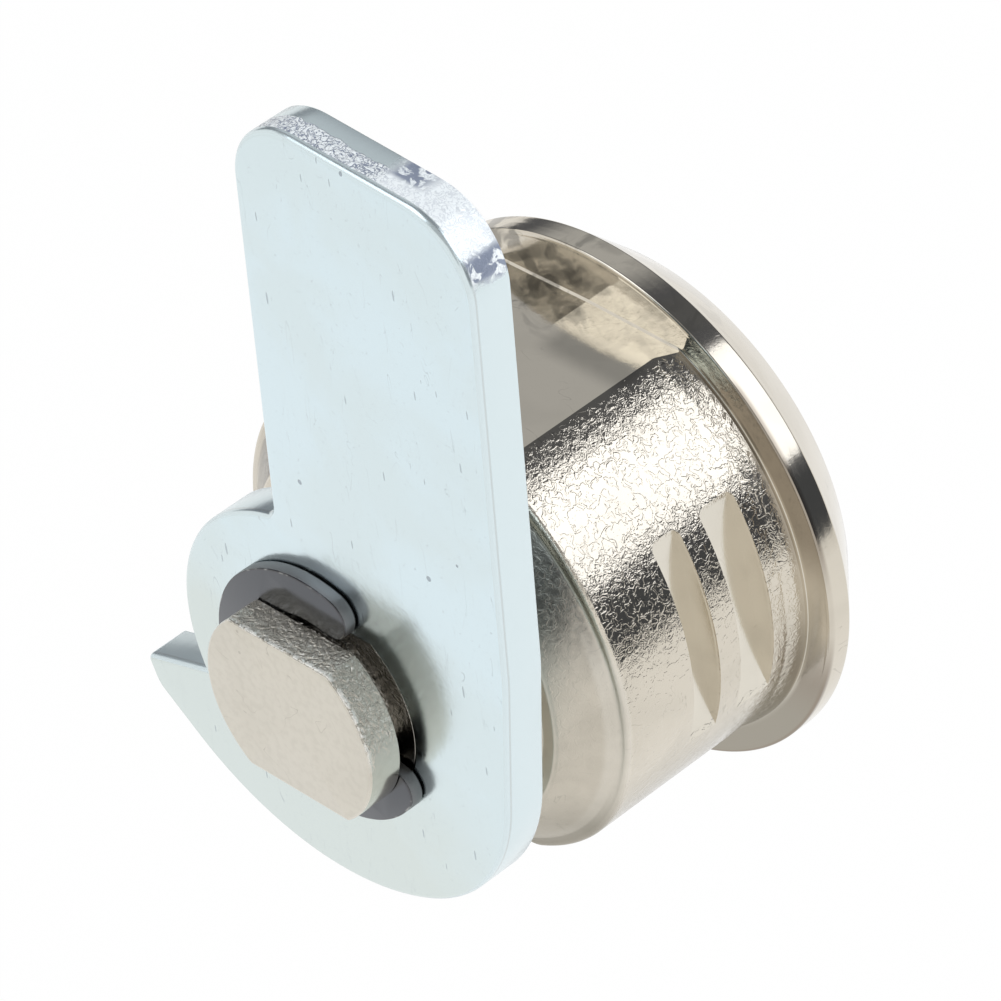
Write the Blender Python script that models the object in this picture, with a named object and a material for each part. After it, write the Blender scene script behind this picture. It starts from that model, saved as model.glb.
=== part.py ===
"""Cam lock with a flat offset cam, a horseshoe retaining clip and a double-D barrel.

The lock lies with its axis along Y. +Y points out of the key side, -Y points at the cam.
+Z runs up the cam's blade and +X to its right, seen from the cam side. The origin is on the
lock's axis, in the plane of the flange's rear face, which seats on the door or lid.
All sizes are in metres. Polar angles are counted in the XZ plane, from +X towards +Z.
"""

from math import acos, atan2, cos, degrees, hypot, pi, radians, sin, sqrt, tan

import bmesh
import bpy
from mathutils import Matrix, Vector

# Barrel of the lock body: a cylinder with two flats, for a double-D hole
BARREL_RADIUS = 0.0100
BARREL_FLAT_HEIGHT = 0.0091
BARREL_FLAT_DRAFT_DEG = 1.2
BARREL_LENGTH = 0.0093
BARREL_END_ROUND = 0.00030
COLLAR_RADIUS = 0.0102
COLLAR_THICKNESS = 0.00015
COLLAR_TAPER_LENGTH = 0.0008

# Tapered tail of the body behind the barrel, and the neck the cam runs against
TAIL_STEP = 0.0004
TAIL_LENGTH = 0.0017
TAIL_END_RADIUS = 0.00784
NECK_RADIUS = 0.0073
NECK_LENGTH = 0.0015

# Flange: a thin cylindrical band, then a wide bevel to the flat front face
FLANGE_RADIUS = 0.01136
FLANGE_BAND = 0.00100
FLANGE_THICKNESS = 0.00315
FLANGE_FACE_RADIUS = 0.0093
FLANGE_EDGE_BREAK = 0.00008

# Slots across the barrel's round sides for the fixing clip, as rear and front limits in Y
CLIP_SLOT_RANGES = ((-0.00587, -0.00446), (-0.00340, -0.00163))
CLIP_SLOT_FLOOR = 0.00893
CLIP_SLOT_TOP = 0.0044
CLIP_SLOT_FOOT = -0.0060
CLIP_SLOT_END_ROUND = 0.00038
CLIP_SLOT_TAPER_DEG = 6.4

# Key plug and the bore it turns in
PLUG_RADIUS = 0.0063
PLUG_CLEARANCE = 0.0002
PLUG_HEAD_RADIUS = 0.0070
PLUG_HEAD_THICKNESS = 0.0008
HEAD_SEAT_DEPTH = 0.00125
KEYWAY_WIDTH = 0.0020
KEYWAY_HEIGHT = 0.0076
KEYWAY_WARD = 0.0005
STOP_LENGTH = 0.0013
STOP_ROOT_RADIUS = 0.0052
STOP_ARC_DEG = 90.0
STOP_SLACK_DEG = 2.0
TURN_DEG = 90.0

# Thin cap rolled over the plug's head
CAP_THICKNESS = 0.00035
CAP_RADIUS = 0.0075
CAP_PROUD = 0.0003
CAP_SKIRT_WALL = 0.0003
CAP_EDGE_ROUND = 0.0002

# Spindle at the plug's rear: double-D, with a groove for the retaining clip
SPINDLE_RADIUS = 0.00433
SPINDLE_FLAT_HEIGHT = 0.00344
SPINDLE_LENGTH = 0.0044
SPINDLE_END_BREAK = 0.00016
GROOVE_RADIUS = 0.0033
GROOVE_WIDTH = 0.00076

# Cam: a flat plate with a long blade, a round hub and a short pointed tail
CAM_THICKNESS = 0.0019
CAM_SEAT_GAP = 0.00025
CAM_HOLE_CLEARANCE = 0.00012
CAM_TURN_DEG = 3.3
BLADE_LEFT = 0.00228
BLADE_RIGHT = 0.0095
BLADE_TOP = 0.0258
BLADE_LEFT_CORNER = 0.0031
BLADE_RIGHT_CORNER = 0.0030
HUB_RADIUS = 0.00752
HUB_CENTRE = (-0.00045, -0.00025)
HUB_FILLET = 0.0007
HEEL_RADIUS = 0.00905
HEEL_END_DEG = -63.0
BEND_HEIGHT = 0.0057
BEND_ROUND = 0.0090
KEEL_REACH = 0.00243
KEEL_ROUND = 0.0118
CHIN_REACH = 0.0103
CHIN_DROP = 0.00575
CHIN_ROUND = 0.0012
TIP_REACH = 0.01078
TIP_DROP = 0.00455
TIP_ROUND = 0.00025
TAIL_ROOT_DEG = 204.0
CAM_EDGE_ROUND = 0.00022

# Horseshoe clip in the spindle's groove
CLIP_THICKNESS = 0.00058
CLIP_GAP = 0.00006
CLIP_OUTER_RADIUS = 0.00535
CLIP_INNER_RADIUS = 0.0035
CLIP_LIFT = 0.00018
CLIP_UPPER_END_DEG = 62.0
CLIP_LOWER_END_DEG = -24.0

# Wafers, their springs and the room they need
WAFER_COUNT = 6
WAFER_FIRST_Y = -0.0017
WAFER_PITCH = 0.0015
WAFER_THICKNESS = 0.0007
WAFER_HALF_WIDTH = 0.0029
WAFER_CLEARANCE = 0.00015
WAFER_WINDOW_HALF_WIDTH = 0.00125
WAFER_WINDOW_TOP = 0.0042
WAFER_WINDOW_FOOT = 0.0036
WAFER_CODE_STEP = 0.0004
WAFER_CODES = (2, 0, 3, 1, 2, 1)
WAFER_LIFT = 0.0010
WAFER_DROP = 0.0006
EAR_REACH = 0.0043
EAR_TOP = 0.0008
EAR_FOOT = -0.0002
SPRING_PLACE = 0.0037
SPRING_FOOT = -0.0041
SPRING_COIL_RADIUS = 0.00033
SPRING_WIRE_RADIUS = 0.00008
SPRING_HOLE_RADIUS = 0.0005
SPRING_TURNS = 5
SPRING_END_GAP = 0.00004
CHANNEL_RADIUS = 0.0075
CHANNEL_END_GAP = 0.0005

# Dust shutter behind the key slot
SHUTTER_THICKNESS = 0.0004
SHUTTER_GAP = 0.0002
SHUTTER_TIP_X = -0.0011
SHUTTER_PIN_X = 0.00175
SHUTTER_HALF_HEIGHT = 0.0039
SHUTTER_KNUCKLE_RADIUS = 0.0005
SHUTTER_PIN_RADIUS = 0.00025
SHUTTER_PIN_HALF_LENGTH = 0.0048
SHUTTER_PIN_CLEARANCE = 0.00006
SHUTTER_NOTCH_HALF_HEIGHT = 0.0013
SHUTTER_POCKET_CLEARANCE = 0.00025
SHUTTER_SPRING_TURNS = 5
SHUTTER_SPRING_WIRE = 0.00007
SHUTTER_SPRING_ARM_X = -0.0005

# Facets, and how far a cutter stands out past what it cuts
BODY_SEGMENTS = 80
PLUG_SEGMENTS = 56
ARC_STEP_DEG = 6.0
CORNER_STEP_DEG = 12.0
HOLE_STEP_DEG = 30.0
COIL_STEPS_PER_TURN = 9
SHARP_EDGE_DEG = 35.0
CUT_MARGIN = 0.002

# Planes along the axis, worked out from the sizes above
FLANGE_FRONT_Y = FLANGE_THICKNESS
BARREL_END_Y = -BARREL_LENGTH
TAIL_END_Y = BARREL_END_Y - TAIL_LENGTH
NECK_END_Y = TAIL_END_Y - NECK_LENGTH
HEAD_SEAT_Y = FLANGE_FRONT_Y - HEAD_SEAT_DEPTH
HEAD_REAR_Y = HEAD_SEAT_Y + PLUG_CLEARANCE
HEAD_FRONT_Y = HEAD_REAR_Y + PLUG_HEAD_THICKNESS
CAP_FRONT_Y = FLANGE_FRONT_Y + CAP_PROUD
CAP_INNER_Y = CAP_FRONT_Y - CAP_THICKNESS
SHOULDER_Y = NECK_END_Y
STOP_FRONT_Y = NECK_END_Y + STOP_LENGTH
CAM_REAR_Y = SHOULDER_Y - CAM_SEAT_GAP
CAM_FRONT_Y = CAM_REAR_Y - CAM_THICKNESS
CLIP_REAR_Y = CAM_FRONT_Y - CLIP_GAP
CLIP_FRONT_Y = CLIP_REAR_Y - CLIP_THICKNESS
SPINDLE_END_Y = SHOULDER_Y - SPINDLE_LENGTH
GROOVE_REAR_Y = CLIP_FRONT_Y - CLIP_GAP
GROOVE_FRONT_Y = GROOVE_REAR_Y + GROOVE_WIDTH
SHUTTER_FRONT_Y = CAP_INNER_Y - SHUTTER_GAP
SHUTTER_PIN_Y = SHUTTER_FRONT_Y - SHUTTER_KNUCKLE_RADIUS
BORE_RADIUS = PLUG_RADIUS + PLUG_CLEARANCE
WAFER_LAST_Y = WAFER_FIRST_Y - (WAFER_COUNT - 1) * WAFER_PITCH


def clear_scene():
    """Remove every object, so that only the lock is left in the file."""
    for thing in list(bpy.data.objects):
        bpy.data.objects.remove(thing, do_unlink=True)


def make_material(name, colour, metallic, roughness):
    """Return a Principled material."""
    material = bpy.data.materials.new(name)
    material.use_nodes = True
    shader = material.node_tree.nodes["Principled BSDF"]
    shader.inputs["Base Color"].default_value = (*colour, 1.0)
    shader.inputs["Metallic"].default_value = metallic
    shader.inputs["Roughness"].default_value = roughness
    material.diffuse_color = (*colour, 1.0)
    return material


def add_object(name, bm, material=None, parent=None, pivot=(0.0, 0.0, 0.0), smooth=True):
    """Turn a bmesh into a linked object whose origin is at the pivot."""
    bmesh.ops.recalc_face_normals(bm, faces=bm.faces)
    bm.transform(Matrix.Translation(-Vector(pivot)))
    mesh = bpy.data.meshes.new(name)
    bm.to_mesh(mesh)
    bm.free()
    if smooth:
        mesh.shade_smooth()
        mesh.set_sharp_from_angle(angle=radians(SHARP_EDGE_DEG))
    thing = bpy.data.objects.new(name, mesh)
    bpy.context.scene.collection.objects.link(thing)
    thing.location = pivot
    if material:
        mesh.materials.append(material)
    if parent:
        thing.parent = parent
        thing.matrix_parent_inverse = Matrix.Translation(-Vector(parent.location))
    return thing


def cut(target, bm, name):
    """Cut a closed bmesh out of the target with a Boolean modifier."""
    cutter = add_object(name, bm, smooth=False)
    cutter.hide_render = True
    cutter.display_type = "WIRE"
    modifier = target.modifiers.new(name, "BOOLEAN")
    modifier.operation = "DIFFERENCE"
    modifier.object = cutter
    return cutter


def arc(centre, radius, start_deg, end_deg, step_deg=ARC_STEP_DEG):
    """Points of an arc in the plane of the outline, both ends included."""
    count = max(2, int(abs(end_deg - start_deg) / step_deg) + 1)
    points = []
    for index in range(count + 1):
        angle = radians(start_deg + (end_deg - start_deg) * index / count)
        points.append((centre[0] + radius * cos(angle), centre[1] + radius * sin(angle)))
    return points


def corner(before, point, after, radius):
    """Points of the fillet arc that rounds one corner of an outline."""
    to_before = (Vector(before) - Vector(point)).normalized()
    to_after = (Vector(after) - Vector(point)).normalized()
    half = acos(max(-1.0, min(1.0, to_before.dot(to_after)))) / 2
    centre = Vector(point) + (to_before + to_after).normalized() * radius / sin(half)
    start = Vector(point) + to_before * radius / tan(half)
    end = Vector(point) + to_after * radius / tan(half)
    first = atan2(start.y - centre.y, start.x - centre.x)
    last = atan2(end.y - centre.y, end.x - centre.x)
    sweep = (last - first + pi) % (2 * pi) - pi
    return arc(centre, radius, degrees(first), degrees(first + sweep), CORNER_STEP_DEG)


def turned(profile, segments, closed):
    """Spin a (radius, y) profile round the Y axis; an open one starts and ends on the axis."""
    bm = bmesh.new()
    verts = [bm.verts.new((radius, y, 0.0)) for radius, y in profile]
    pairs = list(zip(verts, verts[1:]))
    if closed:
        pairs.append((verts[-1], verts[0]))
    edges = [bm.edges.new(pair) for pair in pairs]
    bmesh.ops.spin(bm, geom=verts + edges, cent=(0, 0, 0), axis=(0, 1, 0), angle=2 * pi,
                   steps=segments, use_merge=True)
    bmesh.ops.remove_doubles(bm, verts=bm.verts, dist=1e-7)
    return bm


def extruded(outlines, start, end, to_space):
    """Extrude closed outlines from start to end; to_space maps (a, b, depth) to a point."""
    bm = bmesh.new()
    for outline in outlines:
        verts = [bm.verts.new(to_space(a, b, start)) for a, b in outline]
        face = bm.faces.new(verts)
        result = bmesh.ops.extrude_face_region(bm, geom=[face])
        moved = [item for item in result["geom"] if isinstance(item, bmesh.types.BMVert)]
        shift = Vector(to_space(0.0, 0.0, end)) - Vector(to_space(0.0, 0.0, start))
        bmesh.ops.translate(bm, verts=moved, vec=shift)
    return bm


def plate(outlines, rear_y, front_y):
    """Extrude (x, z) outlines along Y."""
    return extruded(outlines, rear_y, front_y, lambda a, b, depth: (a, depth, b))


def upright(outlines, low_z, high_z):
    """Extrude (x, y) outlines along Z."""
    return extruded(outlines, low_z, high_z, lambda a, b, depth: (a, b, depth))


def circle(centre, radius):
    """Outline of a small round hole or pin."""
    return arc(centre, radius, 0.0, 360.0 - HOLE_STEP_DEG, HOLE_STEP_DEG)


def rectangle(low_a, high_a, low_b, high_b):
    """Outline of a rectangle."""
    return [(low_a, low_b), (high_a, low_b), (high_a, high_b), (low_a, high_b)]


def double_d(radius, flat_height):
    """Outline of a circle with flats above and below."""
    edge_deg = degrees(atan2(flat_height, sqrt(radius**2 - flat_height**2)))
    right = arc((0, 0), radius, -edge_deg, edge_deg)
    left = arc((0, 0), radius, 180 - edge_deg, 180 + edge_deg)
    return right + left


def ring_sector(inner, outer, start_deg, end_deg):
    """Outline of part of a ring."""
    return arc((0, 0), outer, start_deg, end_deg) + arc((0, 0), inner, end_deg, start_deg)


def merged(*parts):
    """Join several closed bmeshes that don't touch into one."""
    whole = bmesh.new()
    for part in parts:
        mesh = bpy.data.meshes.new("scratch")
        part.to_mesh(mesh)
        part.free()
        whole.from_mesh(mesh)
        bpy.data.meshes.remove(mesh)
    return whole


def coil(name, points, wire_radius, material, parent, pivot):
    """A round wire along the points, as a closed tube."""
    curve = bpy.data.curves.new(name, "CURVE")
    curve.dimensions = "3D"
    curve.bevel_depth = wire_radius
    curve.bevel_resolution = 1
    curve.use_fill_caps = True
    spline = curve.splines.new("POLY")
    spline.points.add(len(points) - 1)
    for place, point in zip(spline.points, points):
        place.co = (*(Vector(point) - Vector(pivot)), 1.0)
    thing = bpy.data.objects.new(name, curve)
    curve.materials.append(material)
    bpy.context.scene.collection.objects.link(thing)
    thing.location = pivot
    thing.parent = parent
    thing.matrix_parent_inverse = Matrix.Translation(-Vector(parent.location))
    return thing


def helix(x, y, start_z, end_z, radius, turns):
    """Points of a coil round a vertical axis, whose pitch closes in towards both ends."""
    points = []
    total = turns * COIL_STEPS_PER_TURN
    for index in range(total + 1):
        share = index / total
        risen = (1.0 - cos(pi * share)) / 2
        height = start_z + (end_z - start_z) * (share + risen) / 2
        angle = 2 * pi * turns * share
        points.append((x + radius * cos(angle), y + radius * sin(angle), height))
    return points


def body_profile():
    """Half section of the lock body, as a closed (radius, y) loop."""
    tail_start_radius = BARREL_RADIUS - TAIL_STEP
    cap_room = CAP_RADIUS + PLUG_CLEARANCE
    return [
        (FLANGE_FACE_RADIUS, FLANGE_FRONT_Y),
        (FLANGE_RADIUS, FLANGE_BAND),
        (FLANGE_RADIUS, FLANGE_EDGE_BREAK),
        (FLANGE_RADIUS - FLANGE_EDGE_BREAK, 0.0),
        (COLLAR_RADIUS, 0.0),
        (COLLAR_RADIUS, -COLLAR_THICKNESS),
        (BARREL_RADIUS, -COLLAR_THICKNESS - COLLAR_TAPER_LENGTH),
        (BARREL_RADIUS, BARREL_END_Y + BARREL_END_ROUND),
        (BARREL_RADIUS - BARREL_END_ROUND, BARREL_END_Y),
        (tail_start_radius, BARREL_END_Y),
        (TAIL_END_RADIUS, TAIL_END_Y),
        (NECK_RADIUS, TAIL_END_Y),
        (NECK_RADIUS, NECK_END_Y),
        (STOP_ROOT_RADIUS + PLUG_CLEARANCE, NECK_END_Y),
        (STOP_ROOT_RADIUS + PLUG_CLEARANCE, STOP_FRONT_Y),
        (BORE_RADIUS, STOP_FRONT_Y),
        (BORE_RADIUS, HEAD_SEAT_Y),
        (cap_room, HEAD_SEAT_Y),
        (cap_room, FLANGE_FRONT_Y),
    ]


def flats_cutter():
    """Two wedges that leave the barrel's flats, each with a slight ridge along its middle."""
    reach = COLLAR_RADIUS + CUT_MARGIN
    fall = reach * tan(radians(BARREL_FLAT_DRAFT_DEG))
    upper = [(-reach, BARREL_FLAT_HEIGHT - fall), (0.0, BARREL_FLAT_HEIGHT),
             (reach, BARREL_FLAT_HEIGHT - fall), (reach, reach), (-reach, reach)]
    lower = [(x, -z) for x, z in reversed(upper)]
    return plate([upper, lower], TAIL_END_Y - CUT_MARGIN, 0.0)


def clip_slots_cutter():
    """Blocks for the clip slots on both round sides; their floors close in towards the top."""
    turn = radians(CLIP_SLOT_TAPER_DEG)
    reach = BARREL_RADIUS + CUT_MARGIN
    blocks = []
    for rear_y, front_y in CLIP_SLOT_RANGES:
        ends = rectangle(rear_y, front_y, CLIP_SLOT_FOOT, CLIP_SLOT_TOP)
        foot_rear, foot_front, top_front, top_rear = ends
        outline = [foot_rear, foot_front]
        outline += corner(foot_front, top_front, top_rear, CLIP_SLOT_END_ROUND)
        outline += corner(top_front, top_rear, foot_rear, CLIP_SLOT_END_ROUND)
        for side in (1, -1):
            blocks.append(extruded([outline], CLIP_SLOT_FLOOR, reach, lambda y, rise, depth: (
                side * (depth * cos(turn) - rise * sin(turn)), y,
                depth * sin(turn) + rise * cos(turn))))
    return merged(*blocks)


def wafer_channels_cutter():
    """Four channels in the bore, where the wafers stand when the key is drawn out."""
    half = WAFER_HALF_WIDTH + WAFER_CLEARANCE
    inner = sqrt(PLUG_RADIUS**2 - half**2) - PLUG_CLEARANCE
    end_y = WAFER_LAST_Y - WAFER_THICKNESS / 2 - CHANNEL_END_GAP
    sides = [
        rectangle(-half, half, inner, CHANNEL_RADIUS),
        rectangle(-half, half, -CHANNEL_RADIUS, -inner),
        rectangle(inner, CHANNEL_RADIUS, -half, half),
        rectangle(-CHANNEL_RADIUS, -inner, -half, half),
    ]
    return plate(sides, end_y, HEAD_SEAT_Y + PLUG_CLEARANCE)


def stop_recess_cutter():
    """Half of the rear bore is opened out, so that the plug's stop lug can sweep in it."""
    free = arc((0, 0), BORE_RADIUS, 0.0, STOP_ARC_DEG + TURN_DEG)
    return plate([free + [(0.0, 0.0)]], NECK_END_Y - CUT_MARGIN, STOP_FRONT_Y)


def make_lock_body(material):
    """The die-cast body: flange, barrel with flats, clip slots, tail and bore."""
    body = add_object("lock_body", turned(body_profile(), BODY_SEGMENTS, True), material)
    cut(body, flats_cutter(), "cutter_barrel_flats")
    cut(body, clip_slots_cutter(), "cutter_clip_slots")
    cut(body, wafer_channels_cutter(), "cutter_wafer_channels")
    cut(body, stop_recess_cutter(), "cutter_stop_recess")
    return body


def plug_profile():
    """Half section of the key plug and spindle, from the front of the axis to its rear."""
    return [
        (0.0, HEAD_FRONT_Y),
        (PLUG_HEAD_RADIUS, HEAD_FRONT_Y),
        (PLUG_HEAD_RADIUS, HEAD_REAR_Y),
        (PLUG_RADIUS, HEAD_REAR_Y),
        (PLUG_RADIUS, SHOULDER_Y),
        (SPINDLE_RADIUS, SHOULDER_Y),
        (SPINDLE_RADIUS, GROOVE_FRONT_Y),
        (GROOVE_RADIUS, GROOVE_FRONT_Y),
        (GROOVE_RADIUS, GROOVE_REAR_Y),
        (SPINDLE_RADIUS, GROOVE_REAR_Y),
        (SPINDLE_RADIUS, SPINDLE_END_Y + SPINDLE_END_BREAK),
        (SPINDLE_RADIUS - SPINDLE_END_BREAK, SPINDLE_END_Y),
        (0.0, SPINDLE_END_Y),
    ]


def wafer_y(index):
    """Middle plane of a wafer."""
    return WAFER_FIRST_Y - index * WAFER_PITCH


def wafer_side(index):
    """The ears and springs lie in turn to the right and to the left."""
    return 1 if index % 2 == 0 else -1


def wafer_slots_cutter():
    """A slot through the plug for each wafer, with a pocket for its ear."""
    half = WAFER_HALF_WIDTH + WAFER_CLEARANCE
    ear = EAR_REACH + WAFER_CLEARANCE
    low = EAR_FOOT - WAFER_DROP - WAFER_CLEARANCE
    high = EAR_TOP + WAFER_LIFT + WAFER_CLEARANCE
    reach = PLUG_RADIUS + CUT_MARGIN
    depth = WAFER_THICKNESS / 2 + WAFER_CLEARANCE
    slots = []
    for index in range(WAFER_COUNT):
        side = wafer_side(index)
        outline = [(-half, -reach), (half, -reach), (half, low), (ear, low), (ear, high),
                   (half, high), (half, reach), (-half, reach)]
        turned_outline = [(side * x, z) for x, z in outline]
        slots.append(plate([turned_outline], wafer_y(index) - depth, wafer_y(index) + depth))
    return merged(*slots)


def spring_holes_cutter():
    """A blind hole under each wafer's ear for its spring."""
    low = SPRING_FOOT
    high = EAR_FOOT - WAFER_DROP
    holes = []
    for index in range(WAFER_COUNT):
        centre = (wafer_side(index) * SPRING_PLACE, wafer_y(index))
        holes.append(upright([circle(centre, SPRING_HOLE_RADIUS)], low, high))
    return merged(*holes)


def keyway_outline():
    """Slot for the key, with one ward along its left side."""
    half_width = KEYWAY_WIDTH / 2
    half_height = KEYWAY_HEIGHT / 2
    ward = KEYWAY_WARD
    return [(-half_width, -half_height), (half_width, -half_height), (half_width, half_height),
            (-half_width, half_height), (-half_width, ward), (ward - half_width, ward / 2),
            (ward - half_width, -ward / 2), (-half_width, -ward)]


def shutter_swing_radius():
    """How far the shutter's free edge reaches from its pin."""
    return hypot(SHUTTER_PIN_X - SHUTTER_TIP_X, SHUTTER_KNUCKLE_RADIUS)


def shutter_room_cutter():
    """Pocket behind the cap where the dust shutter swings, and the seat of its pin."""
    gap = SHUTTER_POCKET_CLEARANCE
    left = SHUTTER_TIP_X - gap
    right = SHUTTER_PIN_X + SHUTTER_KNUCKLE_RADIUS + gap
    floor = SHUTTER_PIN_Y - shutter_swing_radius() - gap / 2
    half = SHUTTER_HALF_HEIGHT + gap
    front = HEAD_FRONT_Y + CUT_MARGIN
    return upright([rectangle(left, right, floor, front)], -half, half)


def pin_seat_cutter():
    """Groove across the plug's head for the shutter's pin."""
    seat = SHUTTER_PIN_RADIUS + SHUTTER_PIN_CLEARANCE
    half = SHUTTER_PIN_HALF_LENGTH + SHUTTER_PIN_CLEARANCE
    outline = rectangle(SHUTTER_PIN_X - seat, SHUTTER_PIN_X + seat, SHUTTER_PIN_Y - seat,
                        HEAD_FRONT_Y + CUT_MARGIN)
    return upright([outline], -half, half)


def spindle_flats_cutter():
    """Blocks that leave the spindle's two flats."""
    reach = SPINDLE_RADIUS + CUT_MARGIN
    upper = rectangle(-reach, reach, SPINDLE_FLAT_HEIGHT, reach)
    lower = rectangle(-reach, reach, -reach, -SPINDLE_FLAT_HEIGHT)
    return plate([upper, lower], SPINDLE_END_Y - CUT_MARGIN, SHOULDER_Y)


def stop_relief_cutter():
    """The plug's rear journal is turned down, apart from the stop lug."""
    start = STOP_ARC_DEG - STOP_SLACK_DEG
    end = 360.0 + STOP_SLACK_DEG
    sector = ring_sector(STOP_ROOT_RADIUS, PLUG_RADIUS + CUT_MARGIN, start, end)
    front_y = STOP_FRONT_Y + PLUG_CLEARANCE
    return plate([sector], SHOULDER_Y - PLUG_CLEARANCE, front_y)


def make_key_plug(material):
    """The key plug, cast in one piece with the spindle."""
    plug = add_object("key_plug", turned(plug_profile(), PLUG_SEGMENTS, False), material)
    cut(plug, spindle_flats_cutter(), "cutter_spindle_flats")
    cut(plug, stop_relief_cutter(), "cutter_stop_relief")
    keyway_end = WAFER_LAST_Y - WAFER_THICKNESS
    keyway = plate([keyway_outline()], keyway_end, HEAD_FRONT_Y + CUT_MARGIN)
    cut(plug, keyway, "cutter_keyway")
    cut(plug, wafer_slots_cutter(), "cutter_wafer_slots")
    cut(plug, spring_holes_cutter(), "cutter_spring_holes")
    cut(plug, shutter_room_cutter(), "cutter_shutter_room")
    cut(plug, pin_seat_cutter(), "cutter_pin_seat")
    return plug


def make_plug_cap(material, plug):
    """Thin cap over the plug's head, with the key slot."""
    inner = CAP_RADIUS - CAP_SKIRT_WALL
    skirt_end_y = HEAD_REAR_Y
    profile = [
        (0.0, CAP_FRONT_Y),
        (CAP_RADIUS - CAP_EDGE_ROUND, CAP_FRONT_Y),
        (CAP_RADIUS, CAP_FRONT_Y - CAP_EDGE_ROUND),
        (CAP_RADIUS, skirt_end_y),
        (inner, skirt_end_y),
        (inner, CAP_INNER_Y),
        (0.0, CAP_INNER_Y),
    ]
    cap = add_object("plug_cap", turned(profile, PLUG_SEGMENTS, False), material, plug)
    slot = rectangle(-KEYWAY_WIDTH / 2, KEYWAY_WIDTH / 2, -KEYWAY_HEIGHT / 2, KEYWAY_HEIGHT / 2)
    cut(cap, plate([slot], HEAD_SEAT_Y, CAP_FRONT_Y + CUT_MARGIN), "cutter_key_slot")
    return cap


def cam_outline():
    """Outline of the cam seen from its clip side, blade up, before it is turned on its hole."""
    top_left = (-BLADE_LEFT, BLADE_TOP)
    top_right = (BLADE_RIGHT, BLADE_TOP)
    bend = (BLADE_RIGHT, BEND_HEIGHT)
    heel_start = degrees(atan2(bend[1], bend[0]) - acos(HEEL_RADIUS / hypot(*bend)))
    heel = arc((0, 0), HEEL_RADIUS, heel_start, HEEL_END_DEG)
    heel_end = radians(HEEL_END_DEG)
    keel_z = (HEEL_RADIUS + KEEL_REACH * cos(heel_end)) / sin(heel_end)
    keel = (-KEEL_REACH, keel_z)
    chin = (-CHIN_REACH, -CHIN_DROP)
    tip = (-TIP_REACH, -TIP_DROP)
    fillet_x = -BLADE_LEFT - HUB_FILLET
    fillet_left = fillet_x - HUB_CENTRE[0]
    fillet_rise = sqrt((HUB_RADIUS + HUB_FILLET) ** 2 - fillet_left**2)
    fillet_z = HUB_CENTRE[1] + fillet_rise
    hub_end = degrees(atan2(fillet_rise, fillet_left))
    hub = arc(HUB_CENTRE, HUB_RADIUS, TAIL_ROOT_DEG, hub_end)
    outline = corner((-BLADE_LEFT, 0.0), top_left, top_right, BLADE_LEFT_CORNER)
    outline += corner(top_left, top_right, bend, BLADE_RIGHT_CORNER)
    outline += corner(top_right, bend, heel[0], BEND_ROUND)
    outline += heel
    outline += corner(heel[-1], keel, chin, KEEL_ROUND)
    outline += corner(keel, chin, tip, CHIN_ROUND)
    outline += corner(chin, tip, hub[0], TIP_ROUND)
    outline += hub
    outline += arc((fillet_x, fillet_z), HUB_FILLET, hub_end - 180.0, 0.0, CORNER_STEP_DEG)[1:]
    return outline


def make_cam(material, plug):
    """The cam plate, with its clip-side edges rounded by the punch."""
    turn = radians(CAM_TURN_DEG)
    outline = [(x * cos(turn) + z * sin(turn), z * cos(turn) - x * sin(turn))
               for x, z in cam_outline()]
    bm = plate([outline], CAM_REAR_Y, CAM_FRONT_Y)
    bm.normal_update()
    edges = [edge for edge in bm.edges
             if all(abs(vert.co.y - CAM_FRONT_Y) < 1e-7 for vert in edge.verts)]
    bmesh.ops.bevel(bm, geom=edges, offset=CAM_EDGE_ROUND, segments=2, profile=0.5,
                    affect="EDGES")
    cam = add_object("cam", bm, material, plug)
    hole = double_d(SPINDLE_RADIUS + CAM_HOLE_CLEARANCE, SPINDLE_FLAT_HEIGHT + CAM_HOLE_CLEARANCE)
    cut(cam, plate([hole], CAM_FRONT_Y - CUT_MARGIN, CAM_REAR_Y + CUT_MARGIN), "cutter_cam_hole")
    return cam


def clip_outline():
    """Outline of the horseshoe clip: a ring open to the right, with rounded ends."""
    middle = (CLIP_OUTER_RADIUS + CLIP_INNER_RADIUS) / 2
    half = (CLIP_OUTER_RADIUS - CLIP_INNER_RADIUS) / 2
    trim_deg = degrees(half / middle)
    upper = CLIP_UPPER_END_DEG + trim_deg
    lower = CLIP_LOWER_END_DEG + 360.0 - trim_deg
    outer = arc((0, 0), CLIP_OUTER_RADIUS, upper, lower)
    lower_centre = (middle * cos(radians(lower)), middle * sin(radians(lower)))
    lower_end = arc(lower_centre, half, lower, lower + 180.0, HOLE_STEP_DEG)
    inner = arc((0, 0), CLIP_INNER_RADIUS, lower, upper)
    upper_centre = (middle * cos(radians(upper)), middle * sin(radians(upper)))
    upper_end = arc(upper_centre, half, upper + 180.0, upper + 360.0, HOLE_STEP_DEG)
    return outer + lower_end[1:-1] + inner + upper_end[1:-1]


def make_retaining_clip(material, plug):
    """The spring-steel clip that holds the cam on the spindle."""
    outline = [(x, z + CLIP_LIFT) for x, z in clip_outline()]
    return add_object("retaining_clip", plate([outline], CLIP_REAR_Y, CLIP_FRONT_Y), material, plug)


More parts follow.
